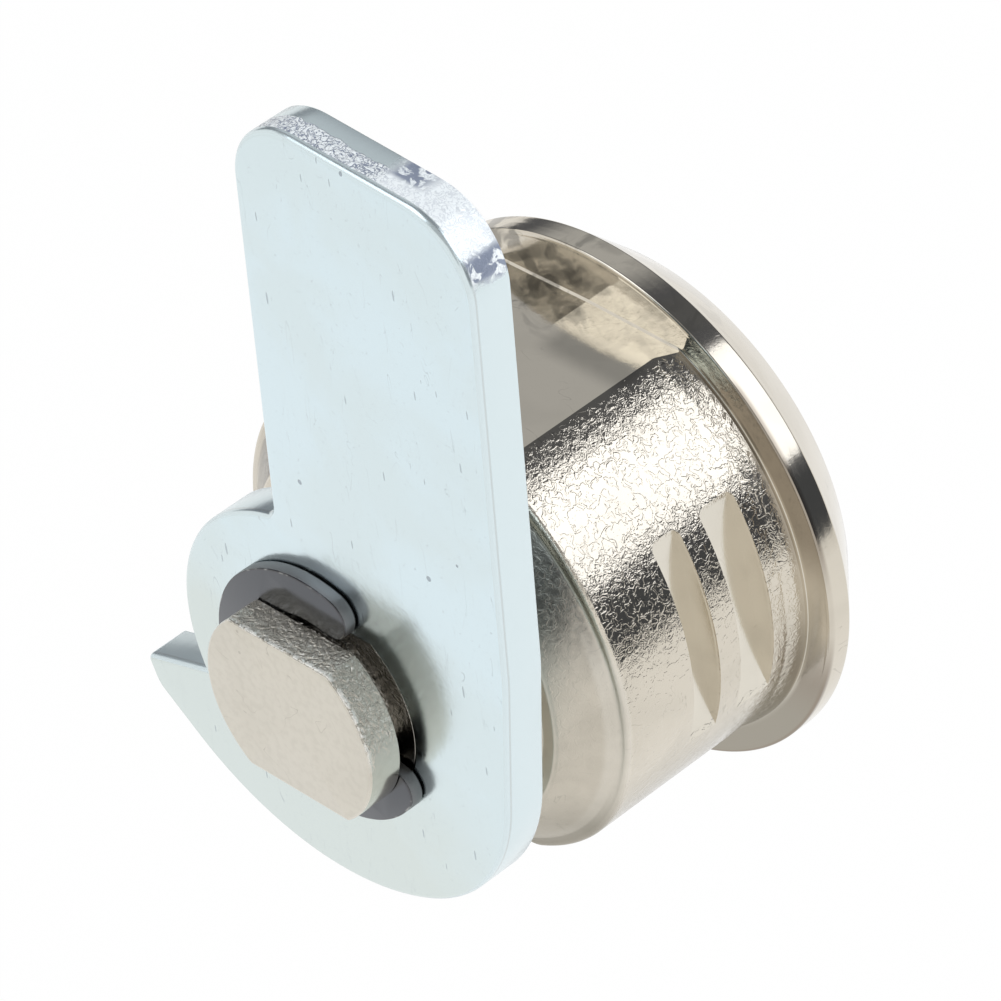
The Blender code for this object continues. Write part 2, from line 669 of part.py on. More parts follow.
def wafer_outline(index):
    """Outline of one wafer: two arcs flush with the plug, straight sides and an ear."""
    radius = PLUG_RADIUS - WAFER_CLEARANCE
    edge_deg = degrees(acos(WAFER_HALF_WIDTH / radius))
    top = arc((0, 0), radius, edge_deg, 180.0 - edge_deg)
    foot = arc((0, 0), radius, 180.0 + edge_deg, 360.0 - edge_deg)
    ear = [(WAFER_HALF_WIDTH, EAR_FOOT), (EAR_REACH, EAR_FOOT), (EAR_REACH, EAR_TOP),
           (WAFER_HALF_WIDTH, EAR_TOP)]
    side = wafer_side(index)
    return [(side * x, z) for x, z in top + foot + ear]


def make_wafer(index, material, plug):
    """One wafer, with a key window at the height of its code."""
    middle = wafer_y(index)
    half = WAFER_THICKNESS / 2
    body = plate([wafer_outline(index)], middle - half, middle + half)
    name = f"wafer_{index + 1}"
    wafer = add_object(name, body, material, plug, (0.0, middle, 0.0))
    foot = -WAFER_WINDOW_FOOT + WAFER_CODES[index % len(WAFER_CODES)] * WAFER_CODE_STEP
    window = rectangle(-WAFER_WINDOW_HALF_WIDTH, WAFER_WINDOW_HALF_WIDTH, foot, WAFER_WINDOW_TOP)
    opening = plate([window], middle - WAFER_THICKNESS, middle + WAFER_THICKNESS)
    cut(wafer, opening, f"cutter_{name}_window")
    return wafer


def make_wafer_spring(index, material, plug):
    """The compression spring under one wafer's ear."""
    x = wafer_side(index) * SPRING_PLACE
    low = SPRING_FOOT + SPRING_WIRE_RADIUS + SPRING_END_GAP
    high = EAR_FOOT - SPRING_WIRE_RADIUS - SPRING_END_GAP
    points = helix(x, wafer_y(index), low, high, SPRING_COIL_RADIUS, SPRING_TURNS)
    foot = (x, wafer_y(index), SPRING_FOOT)
    return coil(f"wafer_spring_{index + 1}", points, SPRING_WIRE_RADIUS, material, plug, foot)


def make_dust_shutter(material, plug):
    """The flap behind the key slot; a key pushes it inwards round its pin."""
    rear_y = SHUTTER_FRONT_Y - SHUTTER_THICKNESS
    centre = (SHUTTER_PIN_X, SHUTTER_PIN_Y)
    lift = (rear_y - SHUTTER_PIN_Y) / SHUTTER_KNUCKLE_RADIUS
    rear_deg = 180.0 - degrees(atan2(lift, sqrt(1.0 - lift**2)))
    knuckle = arc(centre, SHUTTER_KNUCKLE_RADIUS, 90.0, rear_deg - 360.0, 15.0)
    outline = knuckle + [(SHUTTER_TIP_X, rear_y), (SHUTTER_TIP_X, SHUTTER_FRONT_Y)]
    flap = upright([outline], -SHUTTER_HALF_HEIGHT, SHUTTER_HALF_HEIGHT)
    pivot = (SHUTTER_PIN_X, SHUTTER_PIN_Y, 0.0)
    shutter = add_object("dust_shutter", flap, material, plug, pivot)
    hole = circle(centre, SHUTTER_PIN_RADIUS + SHUTTER_PIN_CLEARANCE)
    reach = SHUTTER_HALF_HEIGHT + CUT_MARGIN
    cut(shutter, upright([hole], -reach, reach), "cutter_shutter_hole")
    clear = SHUTTER_KNUCKLE_RADIUS + SHUTTER_POCKET_CLEARANCE
    notch = rectangle(SHUTTER_PIN_X - clear, SHUTTER_PIN_X + clear, SHUTTER_PIN_Y - clear,
                      SHUTTER_PIN_Y + clear)
    notch_half = SHUTTER_NOTCH_HALF_HEIGHT
    cut(shutter, upright([notch], -notch_half, notch_half), "cutter_shutter_notch")
    return shutter


def make_shutter_pin(material, plug):
    """The pin that the shutter turns on."""
    centre = (SHUTTER_PIN_X, SHUTTER_PIN_Y)
    half = SHUTTER_PIN_HALF_LENGTH
    pin = upright([circle(centre, SHUTTER_PIN_RADIUS)], -half, half)
    return add_object("shutter_pin", pin, material, plug, (*centre, 0.0))


def make_shutter_spring(material, shutter):
    """The torsion spring round the pin, with one arm behind the flap."""
    radius = SHUTTER_PIN_RADIUS + 2 * SHUTTER_SPRING_WIRE
    half = SHUTTER_NOTCH_HALF_HEIGHT - 2 * SHUTTER_SPRING_WIRE
    pivot = (SHUTTER_PIN_X, SHUTTER_PIN_Y, 0.0)
    turns = helix(*pivot[:2], half, -half, radius, SHUTTER_SPRING_TURNS)
    arm_y = SHUTTER_FRONT_Y - SHUTTER_THICKNESS - 2 * SHUTTER_SPRING_WIRE
    knee_x = SHUTTER_PIN_X - SHUTTER_KNUCKLE_RADIUS - SHUTTER_POCKET_CLEARANCE
    below = [(SHUTTER_PIN_X + radius * cos(angle), SHUTTER_PIN_Y + radius * sin(angle), -half)
             for angle in (radians(-45.0), radians(-90.0))]
    arm = [(knee_x, (arm_y + below[-1][1]) / 2, -half), (SHUTTER_SPRING_ARM_X, arm_y, -half)]
    points = turns + below + arm
    return coil("shutter_spring", points, SHUTTER_SPRING_WIRE, material, shutter, pivot)


def main():
    """Build the lock."""
    clear_scene()
    nickel = make_material("nickel_casting", (0.60, 0.58, 0.54), 1.0, 0.28)
    plug_metal = make_material("plug_casting", (0.62, 0.59, 0.55), 1.0, 0.35)
    zinc = make_material("zinc_plate", (0.72, 0.78, 0.80), 1.0, 0.32)
    black_steel = make_material("black_spring_steel", (0.06, 0.06, 0.07), 0.6, 0.42)
    brass = make_material("wafer_brass", (0.72, 0.52, 0.22), 1.0, 0.35)
    spring_steel = make_material("spring_steel", (0.55, 0.55, 0.56), 1.0, 0.30)
    stainless = make_material("stainless_cap", (0.66, 0.66, 0.65), 1.0, 0.22)

    make_lock_body(nickel)
    plug = make_key_plug(plug_metal)
    make_plug_cap(stainless, plug)
    make_cam(zinc, plug)
    make_retaining_clip(black_steel, plug)
    for index in range(WAFER_COUNT):
        make_wafer(index, brass, plug)
        make_wafer_spring(index, spring_steel, plug)
    shutter = make_dust_shutter(stainless, plug)
    make_shutter_pin(spring_steel, plug)
    make_shutter_spring(spring_steel, shutter)


main()
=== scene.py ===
"""Looks of the cam lock: finer meshes round the CAD frame, procedural finishes and the studio."""

import logging
from dataclasses import dataclass
from enum import Enum
from math import acos, atan2, copysign, cos, degrees, hypot, pi, radians, sin, sqrt, tan
from typing import Any, Iterable, Sequence

import bmesh
import bpy
from mathutils import Matrix, Vector


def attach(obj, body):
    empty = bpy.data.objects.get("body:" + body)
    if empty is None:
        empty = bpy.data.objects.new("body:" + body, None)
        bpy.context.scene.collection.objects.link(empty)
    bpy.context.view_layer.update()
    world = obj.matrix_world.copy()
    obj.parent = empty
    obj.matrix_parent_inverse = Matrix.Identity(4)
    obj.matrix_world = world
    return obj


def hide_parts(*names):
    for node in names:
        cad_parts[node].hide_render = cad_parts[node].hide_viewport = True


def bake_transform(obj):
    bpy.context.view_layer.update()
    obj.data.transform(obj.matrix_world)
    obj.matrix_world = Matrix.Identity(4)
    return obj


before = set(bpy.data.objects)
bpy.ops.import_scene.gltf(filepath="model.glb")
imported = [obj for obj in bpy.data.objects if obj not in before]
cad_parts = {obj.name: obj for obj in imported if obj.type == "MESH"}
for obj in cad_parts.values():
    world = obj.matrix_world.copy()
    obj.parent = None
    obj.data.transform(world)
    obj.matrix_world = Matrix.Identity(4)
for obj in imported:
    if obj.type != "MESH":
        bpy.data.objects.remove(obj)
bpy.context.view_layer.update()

MM = 0.001
EXACT = 1e-6
LEVEL = 1e-7

Point = tuple[float, float]
Colour = tuple[float, float, float]

log = logging.getLogger("cam_lock")


class Body(Enum):
    """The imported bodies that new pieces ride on."""

    LOCK = "body"
    PLUG = "plug"


class Slot(Enum):
    """Material slots of the record."""

    NICKEL = "nickel_casting"
    PLUG = "plug_casting"
    CAP = "stainless_cap"
    SPRING = "spring_steel"
    ZINC = "zinc_plate"
    BLACK = "black_spring_steel"


@dataclass(frozen=True)
class Fade:
    """A smooth change of a share between two places or levels."""

    start: float
    end: float
    first: float = 0.0
    last: float = 1.0


@dataclass(frozen=True)
class Grain:
    """A noise: its repeats per metre, its octaves and how much it curls."""

    scale: float
    detail: float = 2.0
    distortion: float = 0.0


class Sheet:
    """A node tree with short ways to add nodes and join them."""

    def __init__(self, tree: bpy.types.NodeTree) -> None:
        """Start on a tree that exists."""
        self.tree = tree

    def node(self, kind: str, **settings: Any) -> bpy.types.Node:
        """Add a node.

        Args:
            kind: The node's type name.
            settings: Properties to set on it.

        Returns:
            The new node.
        """
        made = self.tree.nodes.new(kind)
        for name, value in settings.items():
            setattr(made, name, value)
        return made

    def feed(self, socket: bpy.types.NodeSocket, value: Any) -> None:
        """Link a socket to the input, or set a plain value on it.

        Args:
            socket: The input.
            value: A socket or a plain value.
        """
        if isinstance(value, bpy.types.NodeSocket):
            self.tree.links.new(value, socket)
        else:
            socket.default_value = value

    def maths(self, operation: str, *values: Any) -> bpy.types.NodeSocket:
        """Add a Math node.

        Args:
            operation: The Math node's operation.
            values: Sockets or numbers for its inputs.

        Returns:
            Its result.
        """
        made = self.node("ShaderNodeMath", operation=operation)
        for place, value in enumerate(values):
            self.feed(made.inputs[place], value)
        return made.outputs[0]

    def times(self, *shares: Any) -> Any:
        """Multiply two or more shares.

        Args:
            shares: Sockets or numbers.

        Returns:
            Their product.
        """
        product = shares[0]
        for share in shares[1:]:
            product = self.maths("MULTIPLY", product, share)
        return product

    def most(self, *shares: Any) -> Any:
        """Take the largest of two or more shares.

        Args:
            shares: Sockets or numbers.

        Returns:
            The largest at each point.
        """
        largest = shares[0]
        for share in shares[1:]:
            largest = self.maths("MAXIMUM", largest, share)
        return largest

    def fade(self, value: Any, fade: Fade) -> bpy.types.NodeSocket:
        """Map a value by a named fade."""
        return self.step(value, fade.start, fade.end, fade.first, fade.last)

    def vector(self, operation: str, *values: Any) -> bpy.types.Node:
        """Add a Vector Math node.

        Args:
            operation: The node's operation.
            values: Sockets or tuples for its inputs.

        Returns:
            The node, whose outputs are Vector and Value.
        """
        made = self.node("ShaderNodeVectorMath", operation=operation)
        for place, value in enumerate(values):
            self.feed(made.inputs[place], value)
        return made

    def radius_of(self, place: Any) -> bpy.types.NodeSocket:
        """Distance of a point from the lock's axis."""
        flat = self.vector("MULTIPLY", place, (1.0, 0.0, 1.0)).outputs["Vector"]
        return self.vector("LENGTH", flat).outputs["Value"]

    def step(self, value: Any, low: float, high: float, first: float = 0.0,
             last: float = 1.0) -> bpy.types.NodeSocket:
        """Map a value smoothly from one range to another.

        Args:
            value: The socket to map.
            low: Where the change starts.
            high: Where it ends.
            first: Result at low.
            last: Result at high.

        Returns:
            The mapped value.
        """
        made = self.node("ShaderNodeMapRange", interpolation_type="SMOOTHSTEP")
        self.feed(made.inputs["Value"], value)
        made.inputs["From Min"].default_value = low
        made.inputs["From Max"].default_value = high
        made.inputs["To Min"].default_value = first
        made.inputs["To Max"].default_value = last
        return made.outputs["Result"]

    def noise(self, place: Any, scale: Any, detail: float = 2.0,
              distortion: float = 0.0) -> bpy.types.NodeSocket:
        """Add a Noise texture.

        Args:
            place: The coordinates.
            scale: Repeats per metre.
            detail: Octaves.
            distortion: How much it curls.

        Returns:
            Its value, which is 0.5 on average.
        """
        made = self.node("ShaderNodeTexNoise")
        self.feed(made.inputs["Vector"], place)
        self.feed(made.inputs["Scale"], scale)
        made.inputs["Detail"].default_value = detail
        made.inputs["Distortion"].default_value = distortion
        return made.outputs["Fac"]

    def mix(self, share: Any, first: Any, second: Any) -> bpy.types.NodeSocket:
        """Mix two colours.

        Args:
            share: How much of the second shows.
            first: A colour or socket.
            second: A colour or socket.

        Returns:
            The mixed colour.
        """
        made = self.node("ShaderNodeMix", data_type="RGBA")
        self.feed(made.inputs["Factor"], share)
        self.feed(made.inputs["A"], self.full(first))
        self.feed(made.inputs["B"], self.full(second))
        return made.outputs["Result"]

    @staticmethod
    def full(colour: Any) -> Any:
        """Give a plain colour its alpha."""
        return (*colour, 1.0) if isinstance(colour, tuple) and len(colour) == 3 else colour


class Effect(Sheet):
    """A shader node group that several finishes share."""

    def __init__(self, name: str, inputs: Sequence[tuple[str, str, Any]],
                 outputs: Sequence[str]) -> None:
        """Make the group and its sockets.

        Args:
            name: The group's name.
            inputs: Name, socket type and value of each input.
            outputs: Names of the outputs, which are all values.
        """
        super().__init__(bpy.data.node_groups.new(name, "ShaderNodeTree"))
        for title, kind, value in inputs:
            socket = self.tree.interface.new_socket(title, in_out="INPUT", socket_type=kind)
            if kind != "NodeSocketVector":
                socket.default_value = value
        for title in outputs:
            self.tree.interface.new_socket(title, in_out="OUTPUT", socket_type="NodeSocketFloat")
        self.source = self.node("NodeGroupInput").outputs
        self.target = self.node("NodeGroupOutput").inputs


class EffectShelf:
    """The node groups, each built once."""

    PLACE = ("Place", "NodeSocketVector", None)
    MIDDLE = 0.5
    VALLEY_DEPTH = 0.060
    COARSE_SHARE = 0.34
    FINE_SHARE = 0.12
    FINE_SCALE = 2.6
    BREAK_SCALE = 0.45
    VALLEY_LINE = Fade(0.022, 0.004)
    VALLEY_BREAKS = Fade(0.45, 0.60)
    SCRATCH_BREAKS = Grain(900.0, 2.0)
    SCRATCH_SHARE = Fade(0.5, 0.62)
    TURNING_PITCH = 0.6

    def __init__(self) -> None:
        """Build every group."""
        self.peel = self.build_peel()
        self.pits = self.build_pits()
        self.scratches = self.build_scratches()
        self.turning = self.build_turning()

    def build_peel(self) -> bpy.types.NodeTree:
        """Orange peel of a plated casting: rounded cells with fine valleys between them.

        Returns:
            The group.
        """
        group = Effect("casting_peel", [self.PLACE, ("Scale", "NodeSocketFloat", 2600.0)],
                       ["Height", "Valley"])
        place, scale = group.source["Place"], group.source["Scale"]
        coarse = group.noise(place, scale, 2.0, 0.6)
        off = group.maths("ABSOLUTE", group.maths("SUBTRACT", coarse, self.MIDDLE))
        valley = group.maths("MINIMUM", off, self.VALLEY_DEPTH)
        fine = group.noise(place, group.times(scale, self.FINE_SCALE), 1.0, 0.4)
        small = group.maths("ABSOLUTE", group.maths("SUBTRACT", fine, self.MIDDLE))
        height = group.maths("MULTIPLY_ADD", small, self.FINE_SHARE, group.times(coarse, self.COARSE_SHARE))
        group.feed(group.target["Height"], group.maths("ADD", valley, height))
        breaks = group.noise(place, group.times(scale, self.BREAK_SCALE), 2.0)
        line = group.times(group.fade(off, self.VALLEY_LINE), group.fade(breaks, self.VALLEY_BREAKS))
        group.feed(group.target["Valley"], line)
        return group.tree

    def build_pits(self) -> bpy.types.NodeTree:
        """Small dark pits, scattered on a Voronoi grid.

        Returns:
            The group.
        """
        inputs = [self.PLACE, ("Scale", "NodeSocketFloat", 1200.0),
                  ("Share", "NodeSocketFloat", 0.1), ("Size", "NodeSocketFloat", 0.12)]
        group = Effect("pits", inputs, ["Mask"])
        cells = group.node("ShaderNodeTexVoronoi")
        group.feed(cells.inputs["Vector"], group.source["Place"])
        group.feed(cells.inputs["Scale"], group.source["Scale"])
        chosen = group.node("ShaderNodeSeparateColor")
        group.feed(chosen.inputs["Color"], cells.outputs["Color"])
        kept = group.maths("LESS_THAN", chosen.outputs["Red"], group.source["Share"])
        reach = group.times(group.source["Size"], chosen.outputs["Green"])
        inside = group.maths("LESS_THAN", cells.outputs["Distance"], reach)
        group.feed(group.target["Mask"], group.times(kept, inside))
        return group.tree

    def build_scratches(self) -> bpy.types.NodeTree:
        """Hairline scratches: narrow level lines of a stretched noise, broken up by another.

        Returns:
            The group.
        """
        inputs = [self.PLACE, ("Scale", "NodeSocketFloat", 160.0),
                  ("Width", "NodeSocketFloat", 0.006)]
        group = Effect("scratches", inputs, ["Mask"])
        place, width = group.source["Place"], group.source["Width"]
        level = group.noise(place, group.source["Scale"], 3.0, 1.2)
        off = group.maths("ABSOLUTE", group.maths("SUBTRACT", level, self.MIDDLE))
        line = group.maths("LESS_THAN", off, width)
        breaks = group.noise(place, self.SCRATCH_BREAKS.scale, self.SCRATCH_BREAKS.detail)
        group.feed(group.target["Mask"], group.times(line, group.fade(breaks, self.SCRATCH_SHARE)))
        return group.tree

    def build_turning(self) -> bpy.types.NodeTree:
        """Turning lines: rings round the lock's axis.

        Returns:
            The group.
        """
        group = Effect("turning_lines", [self.PLACE, ("Scale", "NodeSocketFloat", 9000.0)],
                       ["Height"])
        ring = group.node("ShaderNodeCombineXYZ")
        group.feed(ring.inputs["X"], group.radius_of(group.source["Place"]))
        split = group.node("ShaderNodeSeparateXYZ")
        group.feed(split.inputs["Vector"], group.source["Place"])
        group.feed(ring.inputs["Y"], group.times(split.outputs["Y"], self.TURNING_PITCH))
        lines = group.noise(ring.outputs["Vector"], group.source["Scale"], 2.0)
        group.feed(group.target["Height"], lines)
        return group.tree


class MetalSheet(Sheet):
    """A metal's material, with its coordinates and shader at hand."""

    def __init__(self, name: str, effects: EffectShelf) -> None:
        """Make the material.

        Args:
            name: The material's name.
            effects: The shared groups.
        """
        self.material = bpy.data.materials.new(name)
        self.material.use_nodes = True
        super().__init__(self.material.node_tree)
        self.effects = effects
        self.shader = self.tree.nodes["Principled BSDF"]
        self.place = self.node("ShaderNodeTexCoord").outputs["Object"]
        split = self.node("ShaderNodeSeparateXYZ")
        self.feed(split.inputs["Vector"], self.place)
        self.x, self.y, self.z = split.outputs
        self.radius = self.radius_of(self.place)

    def effect(self, tree: bpy.types.NodeTree, **values: Any) -> bpy.types.NodeSocket:
        """Place a shared group.

        Args:
            tree: The group.
            values: Its input values by name.

        Returns:
            The group's output.
        """
        made = self.node("ShaderNodeGroup", node_tree=tree)
        self.feed(made.inputs["Place"], self.place)
        for name, value in values.items():
            self.feed(made.inputs[name], value)
        return made.outputs[0]

    def grain(self, grain: Grain) -> bpy.types.NodeSocket:
        """Add a named noise on the piece's own coordinates."""
        return self.noise(self.place, grain.scale, grain.detail, grain.distortion)

    def bump(self, height: Any, depth: float, under: Any = None) -> bpy.types.NodeSocket:
        """Turn a height into a normal.

        Args:
            height: The height's socket.
            depth: How far a height of 1 stands out, in metres.
            under: Another bump's normal to add to.

        Returns:
            The normal.
        """
        made = self.node("ShaderNodeBump")
        made.inputs["Distance"].default_value = depth
        self.feed(made.inputs["Height"], height)
        if under is not None:
            self.feed(made.inputs["Normal"], under)
        return made.outputs["Normal"]

    def finish(self, colour: Any, roughness: Any, normal: Any = None,
               metallic: Any = 1.0) -> bpy.types.Material:
        """Wire the shader.

        Args:
            colour: Base colour.
            roughness: Roughness.
            normal: Normal, where there is one.
            metallic: Metallic value.

        Returns:
            The material.
        """
        self.feed(self.shader.inputs["Base Color"], self.full(colour))
        self.feed(self.shader.inputs["Roughness"], roughness)
        self.feed(self.shader.inputs["Metallic"], metallic)
        if normal is not None:
            self.feed(self.shader.inputs["Normal"], normal)
        return self.material


@dataclass(frozen=True)
class NickelFinish:
    """Nickel plating on the die-cast body: orange peel on the round sides, smooth elsewhere."""

    name: str = "nickel_plating"
    colour: Colour = (0.685, 0.635, 0.545)
    stain: Colour = (0.36, 0.335, 0.28)
    # Colour of painted shade: on the peel's valleys, the tail's top and the upper flat near the flange.
    painted_shade: Colour = (0.20, 0.19, 0.17)
    # Colour of the painted highlight on the ledge before the tail.
    bright: Colour = (0.88, 0.85, 0.78)
    # Colour of the painted shade on the flange's rear face.
    painted_flange_shade: Colour = (0.31, 0.265, 0.215)
    roughness: float = 0.085

    round_side: Fade = Fade(9.03 * MM, 8.88 * MM)
    barrel_skin: Fade = Fade(9.83 * MM, 9.95 * MM)
    clear_of_flange: Fade = Fade(-0.15 * MM, -0.55 * MM)
    tail_start: Fade = Fade(-9.25 * MM, -9.45 * MM)
    tail_end: Fade = Fade(-10.95 * MM, -10.85 * MM)
    slot_depth: Fade = Fade(9.90 * MM, 9.85 * MM)
    slot_rear: Fade = Fade(-5.95 * MM, -5.91 * MM)
    slot_front: Fade = Fade(-1.55 * MM, -1.59 * MM)
    flat_skin: Fade = Fade(8.73 * MM, 9.03 * MM)

    peel_scale: float = 3300.0
    peel_depth: float = 0.080 * MM
    smooth_peel: float = 0.07
    tail_peel: float = 0.75
    ripple: Grain = Grain(900.0, 2.0)
    ripple_depth: float = 0.006 * MM
    band: Fade = Fade(11.1 * MM, 11.2 * MM)
    band_line_scale: float = 9000.0
    band_line_depth: float = 0.008 * MM

    clouds: Grain = Grain(420.0, 4.0, 0.5)
    cloud_edge: Fade = Fade(0.38, 0.70)
    cloud_stain: float = 0.12
    cloud_roughness: float = 0.05
    scuff_scale: float = 260.0
    scuff_width: float = 0.004
    scuff_stain: float = 0.30
    # Where and how strongly the peel's valleys on the upper barrel get painted shade.
    valley_height: Fade = Fade(1.5 * MM, 4.0 * MM)
    valley_shade_share: float = 0.46

    mottle: Grain = Grain(900.0, 4.0, 0.8)
    mottle_edge: Fade = Fade(0.40, 0.62)
    mottle_stain: float = 0.08
    fleck: Grain = Grain(3600.0, 3.0, 0.4)
    fleck_edge: Fade = Fade(0.42, 0.60, 0.80, 1.0)
    # Painted shade on the tail's upper side.
    tail_top_shade: Fade = Fade(1.0 * MM, 5.0 * MM, 0.0, 0.88)

    # Where the flange's rear face gets painted shade.
    flange_rear: Fade = Fade(0.3 * MM, 0.1 * MM)
    flange_ring: Fade = Fade(10.2 * MM, 10.4 * MM)
    flank_foot: Fade = Fade(0.5 * MM, 3.0 * MM, 0.15, 0.80)
    flank_top: Fade = Fade(9.1 * MM, 8.3 * MM)
    lower_flank: Fade = Fade(-0.3 * MM, -4.5 * MM)

    # Painted shade on the upper flat near the flange, in noisy patches strongest on its left half.
    shade_patches: Grain = Grain(700.0, 3.0, 0.6)
    shade_patch_edge: Fade = Fade(0.48, 0.60)
    shade_patch_side: Fade = Fade(1.5 * MM, -1.5 * MM, 0.25, 1.0)
    shade_patch_end: Fade = Fade(-3.5 * MM, -1.0 * MM)
    shade_patch_share: float = 0.7
    # A band of painted shade on the flat: the flange's dark rim reflected in it.
    flange_reflection_side: Fade = Fade(0.0, 1.0 * MM)
    flange_reflection_rear: Fade = Fade(-3.6 * MM, -2.5 * MM)
    flange_reflection_front: Fade = Fade(-1.1 * MM, -2.1 * MM)
    flange_reflection_share: float = 0.5

    # A painted highlight on the ledge's lower part, then painted shade on the underside and the lower
    # collar.
    ledge_front: Fade = Fade(-9.02 * MM, -9.16 * MM)
    ledge_rear: Fade = Fade(-9.80 * MM, -9.60 * MM)
    ledge_height: Fade = Fade(4.5 * MM, 2.0 * MM, 0.0, 0.28)
    underside: Fade = Fade(-2.5 * MM, -7.0 * MM)
    underside_rim: Fade = Fade(11.3 * MM, 11.2 * MM)
    underside_tail: Fade = Fade(-9.45 * MM, -9.35 * MM, 0.55, 0.88)
    collar_rear: Fade = Fade(-1.3 * MM, -0.9 * MM)
    collar_height: Fade = Fade(0.5 * MM, -2.0 * MM, 0.0, 0.35)
    collar_rim: Fade = Fade(11.0 * MM, 10.8 * MM)
    slot_roughness: float = 0.07
    rear_start: Fade = Fade(-9.0 * MM, -9.35 * MM)
    rear_roughness: Fade = Fade(5.0 * MM, 0.5 * MM, 0.16, 0.42)

    def build(self, effects: EffectShelf) -> bpy.types.Material:
        """Make the material.

        Args:
            effects: The shared groups.

        Returns:
            The material.
        """
        sheet = MetalSheet(self.name, effects)
        side = sheet.fade(sheet.maths("ABSOLUTE", sheet.z), self.round_side)
        barrel = sheet.times(side, sheet.fade(sheet.radius, self.barrel_skin),
                             sheet.fade(sheet.y, self.clear_of_flange))
        tail = sheet.times(sheet.fade(sheet.y, self.tail_start), sheet.fade(sheet.y, self.tail_end))
        cloud = sheet.fade(sheet.grain(self.clouds), self.cloud_edge)
        peel = sheet.effect(effects.peel, Scale=self.peel_scale)
        normal = self.relief(sheet, peel, barrel, tail)
        scuffs = sheet.effect(effects.scratches, Scale=self.scuff_scale, Width=self.scuff_width)
        tint = sheet.mix(sheet.times(cloud, self.cloud_stain), self.colour, self.stain)
        tint = sheet.mix(sheet.times(scuffs, self.scuff_stain), tint, self.stain)
        # Painted shade: the peel's valley lines are darkened on the barrel's upper side. They stand in for
        # the dark that the valleys reflect inside the highlight.
        valleys = sheet.times(peel.node.outputs["Valley"], barrel, sheet.fade(sheet.z, self.valley_height))
        tint = sheet.mix(sheet.times(valleys, self.valley_shade_share), tint, self.painted_shade)
        tint = self.mottle_tail_and_shade_top(sheet, tint, tail)
        tint = self.shade_flange(sheet, tint)
        tint = self.paint_flat_shade(sheet, tint)
        tint = self.light_ledge_and_shade_low_side(sheet, tint)
        rough = sheet.maths("MULTIPLY_ADD", cloud, self.cloud_roughness, self.roughness)
        in_slot = sheet.times(side, sheet.fade(sheet.radius, self.slot_depth),
                              sheet.fade(sheet.y, self.slot_rear), sheet.fade(sheet.y, self.slot_front))
        rough = sheet.maths("MULTIPLY_ADD", in_slot, self.slot_roughness, rough)
        rough = sheet.maths("MULTIPLY_ADD", sheet.fade(sheet.y, self.rear_start),
                            sheet.fade(sheet.z, self.rear_roughness), rough)
        return sheet.finish(tint, rough, normal)

    def relief(self, sheet: MetalSheet, peel: Any, barrel: Any, tail: Any) -> bpy.types.NodeSocket:
        """Orange peel on the barrel and tail, a slight ripple elsewhere, turning lines on the band.

        Args:
            sheet: The material.
            peel: The peel's height.
            barrel: Where the barrel's round sides are.
            tail: Where the tail is.

        Returns:
            The normal.
        """
        share = sheet.most(sheet.times(tail, self.tail_peel), barrel)
        share = sheet.maths("MULTIPLY_ADD", share, 1.0 - self.smooth_peel, self.smooth_peel)
        normal = sheet.bump(sheet.grain(self.ripple), self.ripple_depth)
        normal = sheet.bump(sheet.times(peel, share), self.peel_depth, normal)
        lines = sheet.effect(sheet.effects.turning, Scale=self.band_line_scale)
        on_band = sheet.fade(sheet.radius, self.band)
        return sheet.bump(sheet.times(lines, on_band), self.band_line_depth, normal)

    def mottle_tail_and_shade_top(self, sheet: MetalSheet, tint: Any, tail: Any) -> bpy.types.NodeSocket:
        """Mottle the tail, and paint shade on its upper side, broken into flecks: the dark that the tail's
        top reflects.

        Args:
            sheet: The material.
            tint: The colour so far.
            tail: Where the tail is.

        Returns:
            The colour.
        """
        mottle = sheet.fade(sheet.grain(self.mottle), self.mottle_edge)
        tint = sheet.mix(sheet.times(tail, mottle, self.mottle_stain), tint, self.stain)
        # Painted shade on the tail's upper side, broken into flecks.
        fleck = sheet.fade(sheet.grain(self.fleck), self.fleck_edge)
        return sheet.mix(sheet.times(tail, sheet.fade(sheet.z, self.tail_top_shade), fleck), tint, self.painted_shade)

    def shade_flange(self, sheet: MetalSheet, tint: Any) -> bpy.types.NodeSocket:
        """Paint shade, in brown, on the flange's rear face beside and below the barrel.

        Args:
            sheet: The material.
            tint: The colour so far.

        Returns:
            The colour.
        """
        flank = sheet.times(sheet.fade(sheet.z, self.flank_foot), sheet.fade(sheet.z, self.flank_top))
        flank = sheet.most(flank, sheet.fade(sheet.z, self.lower_flank))
        ring = sheet.times(sheet.fade(sheet.radius, self.flange_ring),
                           sheet.fade(sheet.y, self.flange_rear))
        return sheet.mix(sheet.times(ring, flank), tint, self.painted_flange_shade)

    def paint_flat_shade(self, sheet: MetalSheet, tint: Any) -> bpy.types.NodeSocket:
        """Painted shade on the upper flat near the flange: noisy patches strongest on its left half, and a
        band that stands for the flange's dark rim reflected in the flat.

        Args:
            sheet: The material.
            tint: The colour so far.

        Returns:
            The colour.
        """
        flat = sheet.fade(sheet.z, self.flat_skin)
        # Painted shade in noisy patches near the flange.
        shade_patches = sheet.times(flat, sheet.fade(sheet.x, self.shade_patch_side),
                             sheet.fade(sheet.y, self.shade_patch_end),
                             sheet.fade(sheet.grain(self.shade_patches), self.shade_patch_edge), self.shade_patch_share)
        tint = sheet.mix(shade_patches, tint, self.painted_shade)
        # Painted reflection of the flange's dark rim, as a band of shade.
        flange_reflection = sheet.times(flat, sheet.fade(sheet.x, self.flange_reflection_side), sheet.fade(sheet.y, self.flange_reflection_rear),
                           sheet.fade(sheet.y, self.flange_reflection_front), self.flange_reflection_share)
        return sheet.mix(flange_reflection, tint, self.painted_shade)

